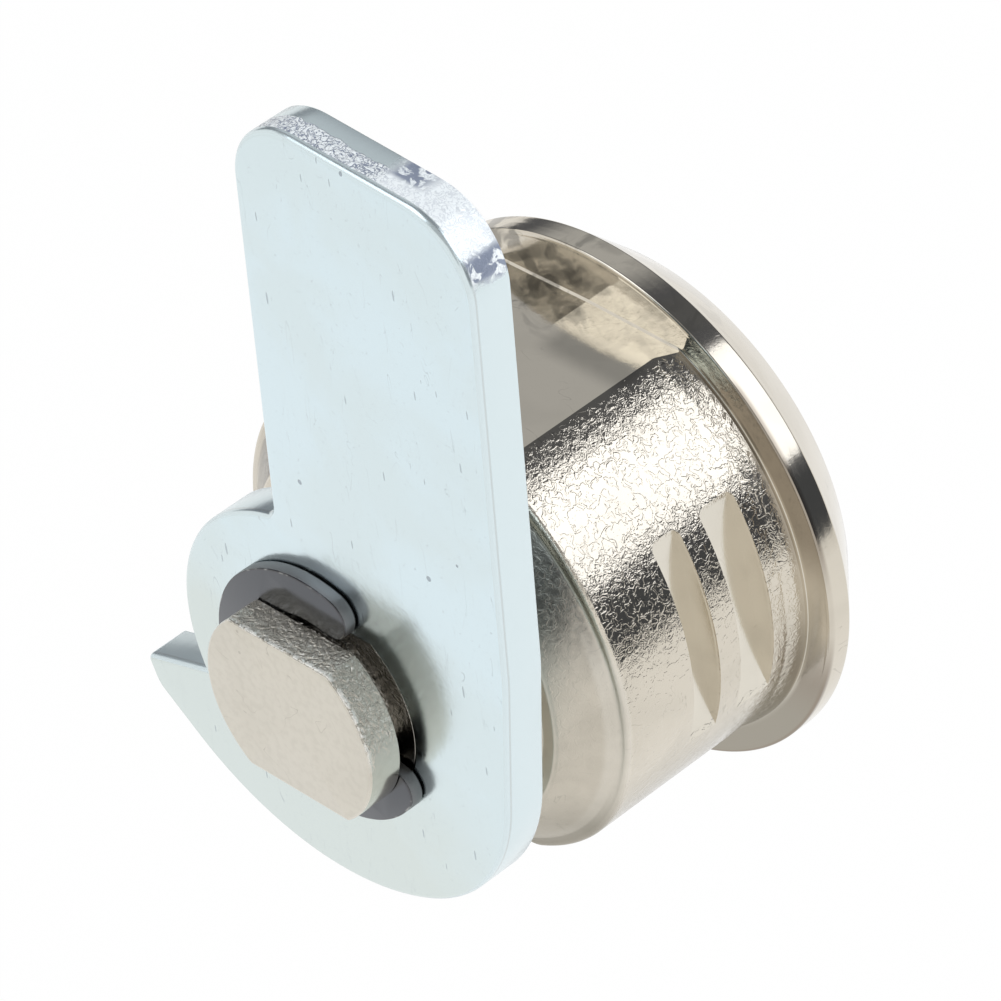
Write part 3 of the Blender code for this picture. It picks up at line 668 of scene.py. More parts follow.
    def light_ledge_and_shade_low_side(self, sheet: MetalSheet, tint: Any) -> bpy.types.NodeSocket:
        """Paint a highlight on the lower part of the ledge before the tail, and paint shade on the
        underside and the lower collar.

        Args:
            sheet: The material.
            tint: The colour so far.

        Returns:
            The colour.
        """
        ledge = sheet.times(sheet.fade(sheet.y, self.ledge_front), sheet.fade(sheet.y, self.ledge_rear),
                            sheet.fade(sheet.z, self.ledge_height))
        # Painted highlight on the ledge's lower part.
        tint = sheet.mix(ledge, tint, self.bright)
        # Painted shade: the underside and the lower collar are darkened with the stain colour.
        underside = sheet.times(sheet.fade(sheet.z, self.underside),
                                sheet.fade(sheet.radius, self.underside_rim),
                                sheet.fade(sheet.y, self.underside_tail))
        collar = sheet.times(sheet.fade(sheet.y, self.collar_rear), sheet.fade(sheet.z, self.collar_height),
                             sheet.fade(sheet.radius, self.collar_rim))
        return sheet.mix(sheet.most(underside, collar), tint, self.stain)


@dataclass(frozen=True)
class ZincFaceFinish:
    """Blue-white zinc plating on the cam's flat faces, with handling marks."""

    colour: Colour = (0.715, 0.835, 0.880)
    warm: Colour = (0.685, 0.755, 0.735)
    mark: Colour = (0.40, 0.46, 0.50)
    roughness: float = 0.15
    warmth: Fade = Fade(5.0 * MM, -7.0 * MM)
    warmth_slant: float = 0.6
    clouds: Grain = Grain(170.0, 4.0, 0.3)
    cloud_edge: Fade = Fade(0.38, 0.62)
    cloud_warmth: float = 0.30
    cloud_roughness: float = 0.05
    specks: Grain = Grain(7000.0, 3.0)
    speck_edge: Fade = Fade(0.62, 0.78)
    speck_share: float = 0.22
    line_stretch: tuple[float, float, float] = (2.6, 1.0, 0.45)
    line_share: float = 0.35
    dash_layers: tuple[Point, ...] = ((0.7, 620.0), (-0.9, 700.0), (0.1, 820.0))
    dash_stretch: tuple[float, float, float] = (3.4, 1.0, 0.6)
    dash_share: float = 0.7
    dot_share: float = 0.25
    fine: Grain = Grain(5000.0, 3.0)
    fine_depth: float = 0.0026 * MM
    swell: Grain = Grain(1100.0, 2.0)
    swell_depth: float = 0.007 * MM
    mark_depth: float = 0.005 * MM

    def build(self, effects: EffectShelf) -> bpy.types.Material:
        """Make the material.

        Args:
            effects: The shared groups.

        Returns:
            The material.
        """
        sheet = MetalSheet("zinc_face", effects)
        cloud = sheet.fade(sheet.grain(self.clouds), self.cloud_edge)
        along = sheet.maths("MULTIPLY_ADD", sheet.x, self.warmth_slant, sheet.z)
        warmed = sheet.maths("MULTIPLY_ADD", cloud, self.cloud_warmth, sheet.fade(along, self.warmth))
        tint = sheet.mix(sheet.maths("MINIMUM", warmed, 1.0), self.colour, self.warm)
        specks = sheet.fade(sheet.grain(self.specks), self.speck_edge)
        tint = sheet.mix(sheet.times(specks, self.speck_share), tint, self.mark)
        marks = self.handling_marks(sheet)
        tint = sheet.mix(marks, tint, self.mark)
        normal = sheet.bump(sheet.grain(self.fine), self.fine_depth)
        normal = sheet.bump(sheet.grain(self.swell), self.swell_depth, normal)
        normal = sheet.bump(sheet.maths("SUBTRACT", 1.0, marks), self.mark_depth, normal)
        rough = sheet.maths("MULTIPLY_ADD", cloud, self.cloud_roughness, self.roughness)
        return sheet.finish(tint, rough, normal)

    def handling_marks(self, sheet: MetalSheet) -> bpy.types.NodeSocket:
        """Scratches, short dashes in three directions, pits and dots.

        Args:
            sheet: The material.

        Returns:
            Where the marks are.
        """
        effects = sheet.effects
        upright = sheet.vector("MULTIPLY", sheet.place, self.line_stretch).outputs["Vector"]
        lines = sheet.effect(effects.scratches, Place=upright, Scale=260.0, Width=0.0016)
        dashes = []
        for turn, scale in self.dash_layers:
            slanted = sheet.node("ShaderNodeMapping")
            sheet.feed(slanted.inputs["Vector"], sheet.place)
            slanted.inputs["Rotation"].default_value = (0.0, turn, 0.0)
            slanted.inputs["Scale"].default_value = self.dash_stretch
            dashes.append(sheet.effect(effects.pits, Place=slanted.outputs["Vector"], Scale=scale,
                                       Share=0.16, Size=0.11))
        pits = sheet.effect(effects.pits, Scale=620.0, Share=0.10, Size=0.08)
        dots = sheet.effect(effects.pits, Scale=1900.0, Share=0.16, Size=0.20)
        return sheet.most(sheet.times(lines, self.line_share), pits,
                          sheet.times(sheet.most(*dashes), self.dash_share),
                          sheet.times(dots, self.dot_share))


@dataclass(frozen=True)
class ZincEdgeFinish:
    """The cam's punched edge: rolled, then torn at the blade's end, light there with a painted highlight at
    the corner, then smooth.
    """

    colour: Colour = (0.715, 0.815, 0.840)
    # Colour of painted shade.
    painted_deep_shade: Colour = (0.13, 0.165, 0.26)
    # Light colour of the torn metal; at the blade's corner it is also a painted highlight.
    fresh: Colour = (0.93, 0.98, 1.0)
    shaded: Colour = (0.52, 0.57, 0.57)
    line: Colour = (0.50, 0.52, 0.52)
    metal: float = 0.80
    tail_metal: float = 0.50
    torn_metal: float = 0.15
    roughness: float = 0.22
    torn_roughness: float = 0.14
    front_y: float = -14.65 * MM

    waver: Grain = Grain(1300.0, 3.0)
    waver_depth: float = 0.55 * MM
    waver_height: float = 1.2 * MM
    torn_start: Fade = Fade(0.25 * MM, 0.33 * MM)
    torn_end: Fade = Fade(1.11 * MM, 1.05 * MM)
    torn_height: Fade = Fade(23.3 * MM, 23.7 * MM)
    corner: Fade = Fade(5.9 * MM, 6.7 * MM)
    corner_crumbs: float = 0.30
    crumbs: Grain = Grain(4600.0, 3.0, 0.9)
    crumb_depth: float = 0.16 * MM
    cracks: Fade = Fade(0.065, 0.015)
    # Dark blotches at the blade's corner: painted shade.
    blotches: Grain = Grain(2200.0, 3.0, 0.8)
    blotch_edge: Fade = Fade(0.42, 0.50)
    blotch_side: Fade = Fade(8.3 * MM, 7.4 * MM)
    blotch_depth: Fade = Fade(0.8 * MM, 1.1 * MM)
    blotch_height: Fade = Fade(24.1 * MM, 23.7 * MM)
    hollow_share: float = 0.85

    streaks: Grain = Grain(4200.0, 3.0)
    streak_stretch: tuple[float, float, float] = (1.0, 0.12, 1.0)
    streak_depth: float = 0.0035 * MM
    low_edge: Fade = Fade(-5.0 * MM, -10.5 * MM, 0.0, 0.9)
    seam_start: Fade = Fade(0.20 * MM, 0.25 * MM)
    seam_end: Fade = Fade(0.34 * MM, 0.28 * MM)
    seam_share: float = 0.5
    tail_side: Fade = Fade(-2.0 * MM, -3.0 * MM)
    tail_height: Fade = Fade(6.0 * MM, 5.0 * MM)

    def build(self, effects: EffectShelf) -> bpy.types.Material:
        """Make the material.

        Args:
            effects: The shared groups.

        Returns:
            The material.
        """
        sheet = MetalSheet("zinc_edge", effects)
        depth = sheet.maths("SUBTRACT", sheet.y, self.front_y)
        waver = sheet.grain(self.waver)
        wavy = sheet.maths("MULTIPLY_ADD", sheet.maths("SUBTRACT", waver, 0.5), self.waver_depth, depth)
        ragged = sheet.maths("MULTIPLY_ADD", waver, self.waver_height, sheet.z)
        corner = sheet.fade(sheet.x, self.corner)
        high = sheet.fade(ragged, self.torn_height)
        torn = sheet.times(sheet.fade(depth, self.torn_start),
                           sheet.most(sheet.fade(wavy, self.torn_end), corner), high)
        ridges = sheet.maths("ABSOLUTE", sheet.maths("SUBTRACT", sheet.grain(self.crumbs), 0.5))
        crumb_share = sheet.maths("MULTIPLY_ADD", corner, self.corner_crumbs - 1.0, 1.0)
        cracks = sheet.times(sheet.fade(ridges, self.cracks), crumb_share)
        hollow = self.hollows(sheet, depth, corner, cracks)
        tint = sheet.mix(sheet.fade(sheet.z, self.low_edge), self.colour, self.shaded)
        # The torn strip is painted light: partly the torn metal's own colour, partly a painted highlight at
        # the blade's corner.
        tint = sheet.mix(torn, tint, self.fresh)
        # Painted shade in the torn strip's cracks and the corner's blotches.
        tint = sheet.mix(sheet.times(torn, hollow, self.hollow_share), tint, self.painted_deep_shade)
        seam = sheet.times(sheet.fade(depth, self.seam_start), sheet.fade(depth, self.seam_end),
                           sheet.maths("SUBTRACT", 1.0, high), self.seam_share)
        tint = sheet.mix(seam, tint, self.line)
        stretched = sheet.vector("MULTIPLY", sheet.place, self.streak_stretch).outputs["Vector"]
        streaks = sheet.noise(stretched, self.streaks.scale, self.streaks.detail)
        normal = sheet.bump(streaks, self.streak_depth)
        normal = sheet.bump(sheet.times(ridges, torn, crumb_share), self.crumb_depth, normal)
        rough = sheet.maths("MULTIPLY_ADD", torn, self.torn_roughness - self.roughness, self.roughness)
        tail = sheet.times(sheet.fade(sheet.x, self.tail_side), sheet.fade(sheet.z, self.tail_height))
        metal = sheet.maths("MULTIPLY_ADD", tail, self.tail_metal - self.metal, self.metal)
        metal = sheet.maths("MULTIPLY_ADD", torn, self.torn_metal - self.metal, metal)
        return sheet.finish(tint, rough, normal, metal)

    def hollows(self, sheet: MetalSheet, depth: Any, corner: Any, cracks: Any) -> bpy.types.NodeSocket:
        """Painted shade: dark cracks in the torn strip, and dark blotches at the blade's corner that stand
        for the dark it reflects.

        Args:
            sheet: The material.
            depth: Distance from the cam's front face.
            corner: Where the blade's corner is.
            cracks: Where the cracks are.

        Returns:
            Where the strip is dark.
        """
        blotches = sheet.fade(sheet.grain(self.blotches), self.blotch_edge)
        rear = sheet.times(sheet.fade(sheet.x, self.blotch_side), sheet.fade(depth, self.blotch_depth))
        ends = sheet.most(rear, sheet.fade(sheet.z, self.blotch_height))
        return sheet.most(cracks, sheet.times(blotches, corner, ends))


@dataclass(frozen=True)
class SpindleFinish:
    """The plug's casting, with turning arcs on its end and dents along its upper edges."""

    colour: Colour = (0.690, 0.655, 0.575)
    stain: Colour = (0.42, 0.39, 0.33)
    # Colour of the painted shade in the groove.
    painted_deep_shade: Colour = (0.34, 0.32, 0.29)
    fresh: Colour = (0.96, 0.94, 0.88)
    roughness: float = 0.30
    side_roughness: float = 0.18

    side: Fade = Fade(-16.87 * MM, -16.80 * MM)
    upper: Fade = Fade(-0.8 * MM, 1.6 * MM)
    groove_rear: Fade = Fade(-15.36 * MM, -15.31 * MM)
    groove_front: Fade = Fade(-13.3 * MM, -13.4 * MM)
    rim: Fade = Fade(-16.58 * MM, -16.76 * MM)
    side_shade: Fade = Fade(-2.2 * MM, 1.5 * MM, 0.0, 0.55)

    arc_scale: float = 4200.0
    arc_depth: float = 0.0045 * MM
    swell: Grain = Grain(1500.0, 2.0)
    swell_depth: float = 0.006 * MM
    dents: Grain = Grain(3000.0, 3.0, 1.4)
    dent_depth: float = 0.12 * MM
    clouds: Grain = Grain(500.0, 3.0)
    cloud_stain: Fade = Fade(0.4, 0.8, 0.0, 0.10)
    fine: Grain = Grain(3200.0, 3.0)
    fine_stain: Fade = Fade(0.42, 0.66, 0.0, 0.13)
    mark_share: float = 0.5
    # How much painted shade the groove gets.
    groove_share: float = 0.85
    crumbs: Grain = Grain(3400.0, 2.0, 0.8)
    crumb_edge: Fade = Fade(0.44, 0.52)
    flecks: Grain = Grain(5200.0, 3.0, 1.0)
    fleck_edge: Fade = Fade(0.55, 0.64)
    fleck_share: float = 0.35
    battered_metal: float = -0.30
    worn_metal: float = -0.40

    def build(self, effects: EffectShelf) -> bpy.types.Material:
        """Make the material.

        Args:
            effects: The shared groups.

        Returns:
            The material.
        """
        sheet = MetalSheet("plug_casting_finish", effects)
        side = sheet.fade(sheet.y, self.side)
        battered = sheet.times(side, sheet.fade(sheet.z, self.upper))
        normal = sheet.bump(sheet.effect(effects.turning, Scale=self.arc_scale), self.arc_depth)
        normal = sheet.bump(sheet.grain(self.swell), self.swell_depth, normal)
        normal = sheet.bump(sheet.times(sheet.grain(self.dents), battered), self.dent_depth, normal)
        pits = sheet.effect(effects.pits, Scale=900.0, Share=0.14, Size=0.10)
        marks = sheet.effect(effects.scratches, Scale=210.0, Width=0.002)
        tint = sheet.mix(sheet.fade(sheet.grain(self.clouds), self.cloud_stain), self.colour, self.stain)
        tint = sheet.mix(sheet.fade(sheet.grain(self.fine), self.fine_stain), tint, self.stain)
        tint = sheet.mix(sheet.times(sheet.most(pits, marks), self.mark_share), tint, self.stain)
        tint = sheet.mix(sheet.times(side, sheet.fade(sheet.z, self.side_shade)), tint, self.stain)
        # Painted shade: the groove beside the cam is darkened.
        dark = sheet.times(sheet.fade(sheet.y, self.groove_rear), sheet.fade(sheet.y, self.groove_front))
        tint = sheet.mix(sheet.times(dark, self.groove_share), tint, self.painted_deep_shade)
        crumbs = sheet.times(sheet.fade(sheet.y, self.rim), battered,
                             sheet.fade(sheet.grain(self.crumbs), self.crumb_edge))
        flecks = sheet.times(sheet.fade(sheet.grain(self.flecks), self.fleck_edge), battered,
                             self.fleck_share)
        worn = sheet.times(sheet.most(crumbs, flecks), sheet.maths("SUBTRACT", 1.0, dark))
        tint = sheet.mix(worn, tint, self.fresh)
        metal = sheet.maths("MULTIPLY_ADD", battered, self.battered_metal, 1.0)
        metal = sheet.most(sheet.maths("MULTIPLY_ADD", worn, self.worn_metal, metal), dark)
        rough = sheet.maths("MULTIPLY_ADD", side, self.side_roughness - self.roughness, self.roughness)
        return sheet.finish(tint, rough, normal, metal)


@dataclass(frozen=True)
class BlackSteelFinish:
    """Oiled black spring steel, semi-gloss; darker on its cut sides, worn bright along its rim."""

    name: str
    colour: Colour
    worn: Colour = (0.34, 0.34, 0.33)
    wear: Fade = Fade(0.72, 0.85)
    roughness: float = 0.20
    clouds: Grain = Grain(1500.0, 3.0)
    fine: Grain = Grain(6000.0, 3.0)
    fine_depth: float = 0.003 * MM

    def build(self, effects: EffectShelf) -> bpy.types.Material:
        """Make the material.

        Args:
            effects: The shared groups.

        Returns:
            The material.
        """
        sheet = MetalSheet(self.name, effects)
        tint = sheet.mix(sheet.fade(sheet.grain(self.clouds), self.wear), self.colour, self.worn)
        return sheet.finish(tint, self.roughness, sheet.bump(sheet.grain(self.fine), self.fine_depth))


@dataclass(frozen=True)
class PlainMetalFinish:
    """A plain metal with fine lines, for the small parts inside and the cap."""

    name: str
    colour: Colour
    stain: Colour
    roughness: float
    line_scale: float = 9000.0
    line_depth: float = 0.002 * MM
    clouds: Grain = Grain(600.0, 3.0)
    cloud_edge: Fade = Fade(0.4, 0.7)
    cloud_stain: float = 0.25
    cloud_roughness: float = 0.06
    mark_scale: float = 260.0
    mark_width: float = 0.004
    mark_stain: float = 0.4

    def build(self, effects: EffectShelf) -> bpy.types.Material:
        """Make the material.

        Args:
            effects: The shared groups.

        Returns:
            The material.
        """
        sheet = MetalSheet(self.name, effects)
        cloud = sheet.fade(sheet.grain(self.clouds), self.cloud_edge)
        marks = sheet.effect(effects.scratches, Scale=self.mark_scale, Width=self.mark_width)
        tint = sheet.mix(sheet.times(cloud, self.cloud_stain), self.colour, self.stain)
        tint = sheet.mix(sheet.times(marks, self.mark_stain), tint, self.stain)
        rough = sheet.maths("MULTIPLY_ADD", cloud, self.cloud_roughness, self.roughness)
        lines = sheet.effect(effects.turning, Scale=self.line_scale)
        return sheet.finish(tint, rough, sheet.bump(lines, self.line_depth))


class Outline:
    """Plane outlines, built from corners and arcs."""

    FINE_STEP = 3.0
    COARSE_STEP = 15.0

    @staticmethod
    def arc(centre: Point, radius: float, start: float, end: float, step: float) -> list[Point]:
        """Points of an arc, both ends included.

        Args:
            centre: The arc's centre.
            radius: Its radius.
            start: First angle in degrees.
            end: Last angle in degrees.
            step: Largest step in degrees.

        Returns:
            The points.
        """
        count = max(2, int(abs(end - start) / step) + 1)
        angles = [radians(start + (end - start) * index / count) for index in range(count + 1)]
        return [(centre[0] + radius * cos(turn), centre[1] + radius * sin(turn)) for turn in angles]

    @classmethod
    def corner(cls, before: Point, point: Point, after: Point, radius: float,
               step: float = 10.0) -> list[Point]:
        """Fillet one corner.

        Args:
            before: The point before the corner.
            point: The corner.
            after: The point after it.
            radius: The fillet's radius, or 0 for a sharp corner.
            step: Largest step in degrees.

        Returns:
            The fillet's points.
        """
        if radius <= 0.0:
            return [point]
        to_before = (Vector(before) - Vector(point)).normalized()
        to_after = (Vector(after) - Vector(point)).normalized()
        half = acos(max(-1.0, min(1.0, to_before.dot(to_after)))) / 2
        centre = Vector(point) + (to_before + to_after).normalized() * radius / sin(half)
        start = Vector(point) + to_before * radius / tan(half)
        end = Vector(point) + to_after * radius / tan(half)
        first = atan2(start.y - centre.y, start.x - centre.x)
        last = atan2(end.y - centre.y, end.x - centre.x)
        sweep = (last - first + pi) % (2 * pi) - pi
        return cls.arc(tuple(centre), radius, degrees(first), degrees(first + sweep), step)

    @classmethod
    def softened(cls, corners: Sequence[tuple[float, float, float]], closed: bool = True,
                 step: float = 10.0) -> list[Point]:
        """Fillet every corner of a path.

        Args:
            corners: Two coordinates and the fillet's radius of each corner.
            closed: False leaves the first and last corner sharp.
            step: Largest step in degrees.

        Returns:
            The path's points.
        """
        points: list[Point] = []
        last = len(corners) - 1
        for index, (a, b, radius) in enumerate(corners):
            if not closed and index in (0, last):
                points.append((a, b))
                continue
            before = corners[index - 1][:2]
            after = corners[(index + 1) % len(corners)][:2]
            points += cls.corner(before, (a, b), after, radius, step)
        return points

    @staticmethod
    def box(low_a: float, high_a: float, low_b: float, high_b: float) -> list[Point]:
        """Corners of a rectangle."""
        return [(low_a, low_b), (high_a, low_b), (high_a, high_b), (low_a, high_b)]


class Maker:
    """Ways to turn outlines into solids, and solids into pieces."""

    ROUND_STEPS = 240
    INNER_STEPS = 192

    @classmethod
    def spun(cls, profile: Sequence[Point], closed: bool, steps: int = ROUND_STEPS) -> bmesh.types.BMesh:
        """Spin a (radius, y) profile round the lock's axis.

        Args:
            profile: The half section.
            closed: True for a loop, False for a path from axis to axis.
            steps: Steps of the full turn.

        Returns:
            The solid.
        """
        bm = bmesh.new()
        verts = [bm.verts.new((radius, y, 0.0)) for radius, y in profile]
        pairs = list(zip(verts, verts[1:]))
        if closed:
            pairs.append((verts[-1], verts[0]))
        edges = [bm.edges.new(pair) for pair in pairs]
        bmesh.ops.spin(bm, geom=verts + edges, cent=(0, 0, 0), axis=(0, 1, 0), angle=2 * pi,
                       steps=steps, use_merge=True)
        bmesh.ops.remove_doubles(bm, verts=bm.verts, dist=LEVEL)
        bmesh.ops.recalc_face_normals(bm, faces=bm.faces)
        return bm

    @staticmethod
    def extruded(outlines: Iterable[Sequence[Point]], start: float, end: float,
                 frame_axes: Matrix) -> bmesh.types.BMesh:
        """Extrude outlines along the third axis of a local frame.

        Args:
            outlines: Closed outlines.
            start: First depth.
            end: Last depth.
            frame_axes: Turns (a, b, depth) into (x, y, z).

        Returns:
            The solids, as one bmesh.
        """
        bm = bmesh.new()
        for outline in outlines:
            face = bm.faces.new([bm.verts.new((a, b, start)) for a, b in outline])
            made = bmesh.ops.extrude_face_region(bm, geom=[face])["geom"]
            moved = [item for item in made if isinstance(item, bmesh.types.BMVert)]
            bmesh.ops.translate(bm, verts=moved, vec=(0.0, 0.0, end - start))
        bmesh.ops.transform(bm, matrix=frame_axes, verts=bm.verts)
        bmesh.ops.recalc_face_normals(bm, faces=bm.faces)
        return bm

    ALONG_X = Matrix(((0, 0, 1, 0), (1, 0, 0, 0), (0, 1, 0, 0), (0, 0, 0, 1)))
    ALONG_Y = Matrix(((1, 0, 0, 0), (0, 0, 1, 0), (0, 1, 0, 0), (0, 0, 0, 1)))
    ALONG_Z = Matrix.Identity(4)

    @classmethod
    def plate(cls, outlines: Iterable[Sequence[Point]], rear: float, front: float) -> bmesh.types.BMesh:
        """Extrude (x, z) outlines along Y."""
        return cls.extruded(outlines, rear, front, cls.ALONG_Y)

    @classmethod
    def upright(cls, outlines: Iterable[Sequence[Point]], low: float, high: float) -> bmesh.types.BMesh:
        """Extrude (x, y) outlines along Z."""
        return cls.extruded(outlines, low, high, cls.ALONG_Z)

    @staticmethod
    def piece(name: str, bm: bmesh.types.BMesh) -> bpy.types.Object:
        """Put a solid into the scene as an object at the origin.

        Args:
            name: The object's name.
            bm: The solid, which is used up.

        Returns:
            The object.
        """
        mesh = bpy.data.meshes.new(name)
        bm.to_mesh(mesh)
        bm.free()
        thing = bpy.data.objects.new(name, mesh)
        bpy.context.scene.collection.objects.link(thing)
        return thing

    @classmethod
    def carve(cls, thing: bpy.types.Object, cutters: Sequence[bmesh.types.BMesh]) -> None:
        """Cut solids out of a piece, for good.

        Args:
            thing: The piece.
            cutters: The solids, which are used up.
        """
        tools = []
        for index, bm in enumerate(cutters):
            tool = cls.piece(f"{thing.name}_tool_{index}", bm)
            modifier = thing.modifiers.new(tool.name, "BOOLEAN")
            modifier.operation = "DIFFERENCE"
            modifier.object = tool
            tools.append(tool)
        graph = bpy.context.evaluated_depsgraph_get()
        carved = bpy.data.meshes.new_from_object(thing.evaluated_get(graph))
        thing.modifiers.clear()
        thing.data = carved
        for tool in tools:
            bpy.data.objects.remove(tool, do_unlink=True)

    @staticmethod
    def smooth(thing: bpy.types.Object, sharp: float) -> None:
        """Shade a piece smooth, with sharp edges past an angle in degrees."""
        thing.data.shade_smooth()
        thing.data.set_sharp_from_angle(angle=radians(sharp))


@dataclass
class LockBody:
    """The die-cast body: flange, barrel with two flats, clip slots, tail cone and neck."""

    barrel_radius: float = 10.0 * MM
    flat_height: float = 9.1 * MM
    flat_draft: float = 1.2
    barrel_end_y: float = -9.3 * MM
    collar_radius: float = 10.2 * MM
    flange_radius: float = 11.36 * MM
    flange_band: float = 1.0 * MM
    flange_front_y: float = 3.15 * MM
    face_radius: float = 9.3 * MM
    tail_start_radius: float = 9.6 * MM
    tail_end_y: float = -11.0 * MM
    tail_end_radius: float = 7.84 * MM
    neck_radius: float = 7.3 * MM
    neck_end_y: float = -12.5 * MM
    bore_radius: float = 6.5 * MM
    stop_bore_radius: float = 5.4 * MM
    stop_front_y: float = -11.2 * MM
    head_seat_y: float = 1.9 * MM
    cap_room: float = 7.7 * MM
    slot_ranges: tuple[Point, ...] = ((-5.87 * MM, -4.46 * MM), (-3.40 * MM, -1.63 * MM))
    slot_floor: float = 8.93 * MM
    slot_taper: float = 6.4
    slot_top: float = 4.40 * MM
    slot_foot: float = -6.0 * MM
    slot_round: float = 0.38 * MM
    channel_half: float = 3.05 * MM
    channel_radius: float = 7.5 * MM
    channel_inner: float = 5.31 * MM
    channel_rear_y: float = -10.05 * MM
    channel_front_y: float = 2.1 * MM
    collar_y: float = -0.15 * MM
    taper_y: float = -0.95 * MM
    recess_arc: Point = (0.5, 179.5)
    recess_inset: float = 0.01 * MM
    recess_overlap: float = 0.05 * MM
    floor_reach: float = 9.97 * MM
    floor_side: float = 8.0 * MM
    floor_facing: float = 0.98
    corner_run: float = 0.07 * MM
    corner_rise: float = 0.09 * MM
    margin: float = 2.0 * MM

    def profile(self) -> list[Point]:
        """Half section with its small fillets.

        Returns:
            A closed loop of (radius, y).
        """
        return Outline.softened([
            (self.face_radius, self.flange_front_y, 0.25 * MM),
            (self.flange_radius, self.flange_band, 0.12 * MM),
            (self.flange_radius, 0.0, 0.09 * MM),
            (self.collar_radius, 0.0, 0.04 * MM),
            (self.collar_radius, self.collar_y, 0.05 * MM),
            (self.barrel_radius, self.taper_y, 0.5 * MM),
            (self.barrel_radius, self.barrel_end_y, 0.25 * MM),
            (self.tail_start_radius, self.barrel_end_y, 0.33 * MM),
            (self.tail_end_radius, self.tail_end_y, 0.10 * MM),
            (self.neck_radius, self.tail_end_y, 0.05 * MM),
            (self.neck_radius, self.neck_end_y, 0.10 * MM),
            (self.stop_bore_radius, self.neck_end_y, 0.0),
            (self.stop_bore_radius, self.stop_front_y, 0.0),
            (self.bore_radius, self.stop_front_y, 0.0),
            (self.bore_radius, self.head_seat_y, 0.0),
            (self.cap_room, self.head_seat_y, 0.0),
            (self.cap_room, self.flange_front_y, 0.10 * MM),
        ])

    def flats(self) -> bmesh.types.BMesh:
        """Two wedges that leave the flats.

        Each flat has a slight ridge along its middle and a fine slope in its corner with the flange.

        Returns:
            The wedges.
        """
        reach = self.flange_radius + self.margin
        fall = reach * tan(radians(self.flat_draft))
        upper = [(-reach, self.flat_height - fall), (0.0, self.flat_height),
                 (reach, self.flat_height - fall), (reach, reach), (-reach, reach)]
        lower = [(x, -z) for x, z in reversed(upper)]
        bm = Maker.plate([upper, lower], self.tail_end_y - self.margin, 0.0)
        bmesh.ops.bisect_plane(bm, geom=[*bm.verts, *bm.edges, *bm.faces],
                               plane_co=(0.0, -self.corner_run, 0.0), plane_no=(0.0, 1.0, 0.0))
        for vertex in bm.verts:
            if abs(vertex.co.y) < EXACT and abs(vertex.co.z) < self.flat_height + EXACT:
                vertex.co.z += copysign(self.corner_rise, vertex.co.z)
        return bm

    def clip_slots(self) -> list[bmesh.types.BMesh]:
        """Blocks for the clip slots, with rounded upper corners, on both round sides.

        Returns:
            One solid for each slot.
        """
        turn = Matrix.Rotation(radians(-self.slot_taper), 4, "Y")
        blocks = []
        for rear, front in self.slot_ranges:
            outline = Outline.softened([
                (rear, self.slot_foot, 0.0),
                (front, self.slot_foot, 0.0),
                (front, self.slot_top, self.slot_round),
                (rear, self.slot_top, self.slot_round),
            ])
            reach = self.flange_radius + self.margin
            for mirror in (1.0, -1.0):
                axes = Matrix.Diagonal((mirror, 1.0, 1.0, 1.0)) @ turn @ Maker.ALONG_X
                blocks.append(Maker.extruded([outline], self.slot_floor, reach, axes))
        return blocks

    def channels(self) -> bmesh.types.BMesh:
        """Four channels in the bore for the wafers.

        Returns:
            The solids, as one bmesh.
        """
        half, inner, outer = self.channel_half, self.channel_inner, self.channel_radius
        sides = [Outline.box(-half, half, inner, outer), Outline.box(-half, half, -outer, -inner),
                 Outline.box(inner, outer, -half, half), Outline.box(-outer, -inner, -half, half)]
        return Maker.plate(sides, self.channel_rear_y, self.channel_front_y)

    def stop_recess(self) -> bmesh.types.BMesh:
        """Half of the rear bore, opened out for the stop lug."""
        radius = self.bore_radius - self.recess_inset
        free = Outline.arc((0.0, 0.0), radius, *self.recess_arc, Outline.FINE_STEP)
        return Maker.plate([free], self.neck_end_y - self.margin, self.stop_front_y + self.recess_overlap)

    def build(self, nickel: bpy.types.Material, lit_slot_nickel: bpy.types.Material) -> bpy.types.Object:
        """Build the body and dress it.

        Args:
            nickel: Its finish.
            lit_slot_nickel: A lighter copy of the nickel for the clip slots' floors: painted light.

        Returns:
            The piece.
        """
        thing = Maker.piece("lock_body_shell", Maker.spun(self.profile(), True))
        Maker.carve(thing, [*self.clip_slots(), self.channels(), self.stop_recess(), self.flats()])
        Maker.smooth(thing, 20.0)
        places = thing.data.vertices
        for edge in thing.data.edges:
            ends = [places[index].co for index in edge.vertices]
            if all(abs(end.x) < EXACT and abs(end.z) < self.flat_height + EXACT for end in ends):
                edge.use_edge_sharp = True
        thing.data.materials.clear()
        thing.data.materials.append(nickel)
        thing.data.materials.append(lit_slot_nickel)
        # The slot floors, which face sideways, take the lighter copy: painted light.
        rear, front = self.slot_ranges[0][0], self.slot_ranges[-1][1]
        for face in thing.data.polygons:
            x, y, z = face.center
            inside = rear < y < front and hypot(x, z) < self.floor_reach and abs(x) > self.floor_side
            if inside and abs(face.normal.x) > self.floor_facing:
                face.material_index = 1
        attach(thing, Body.LOCK.value)
        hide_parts("lock_body")
        return thing


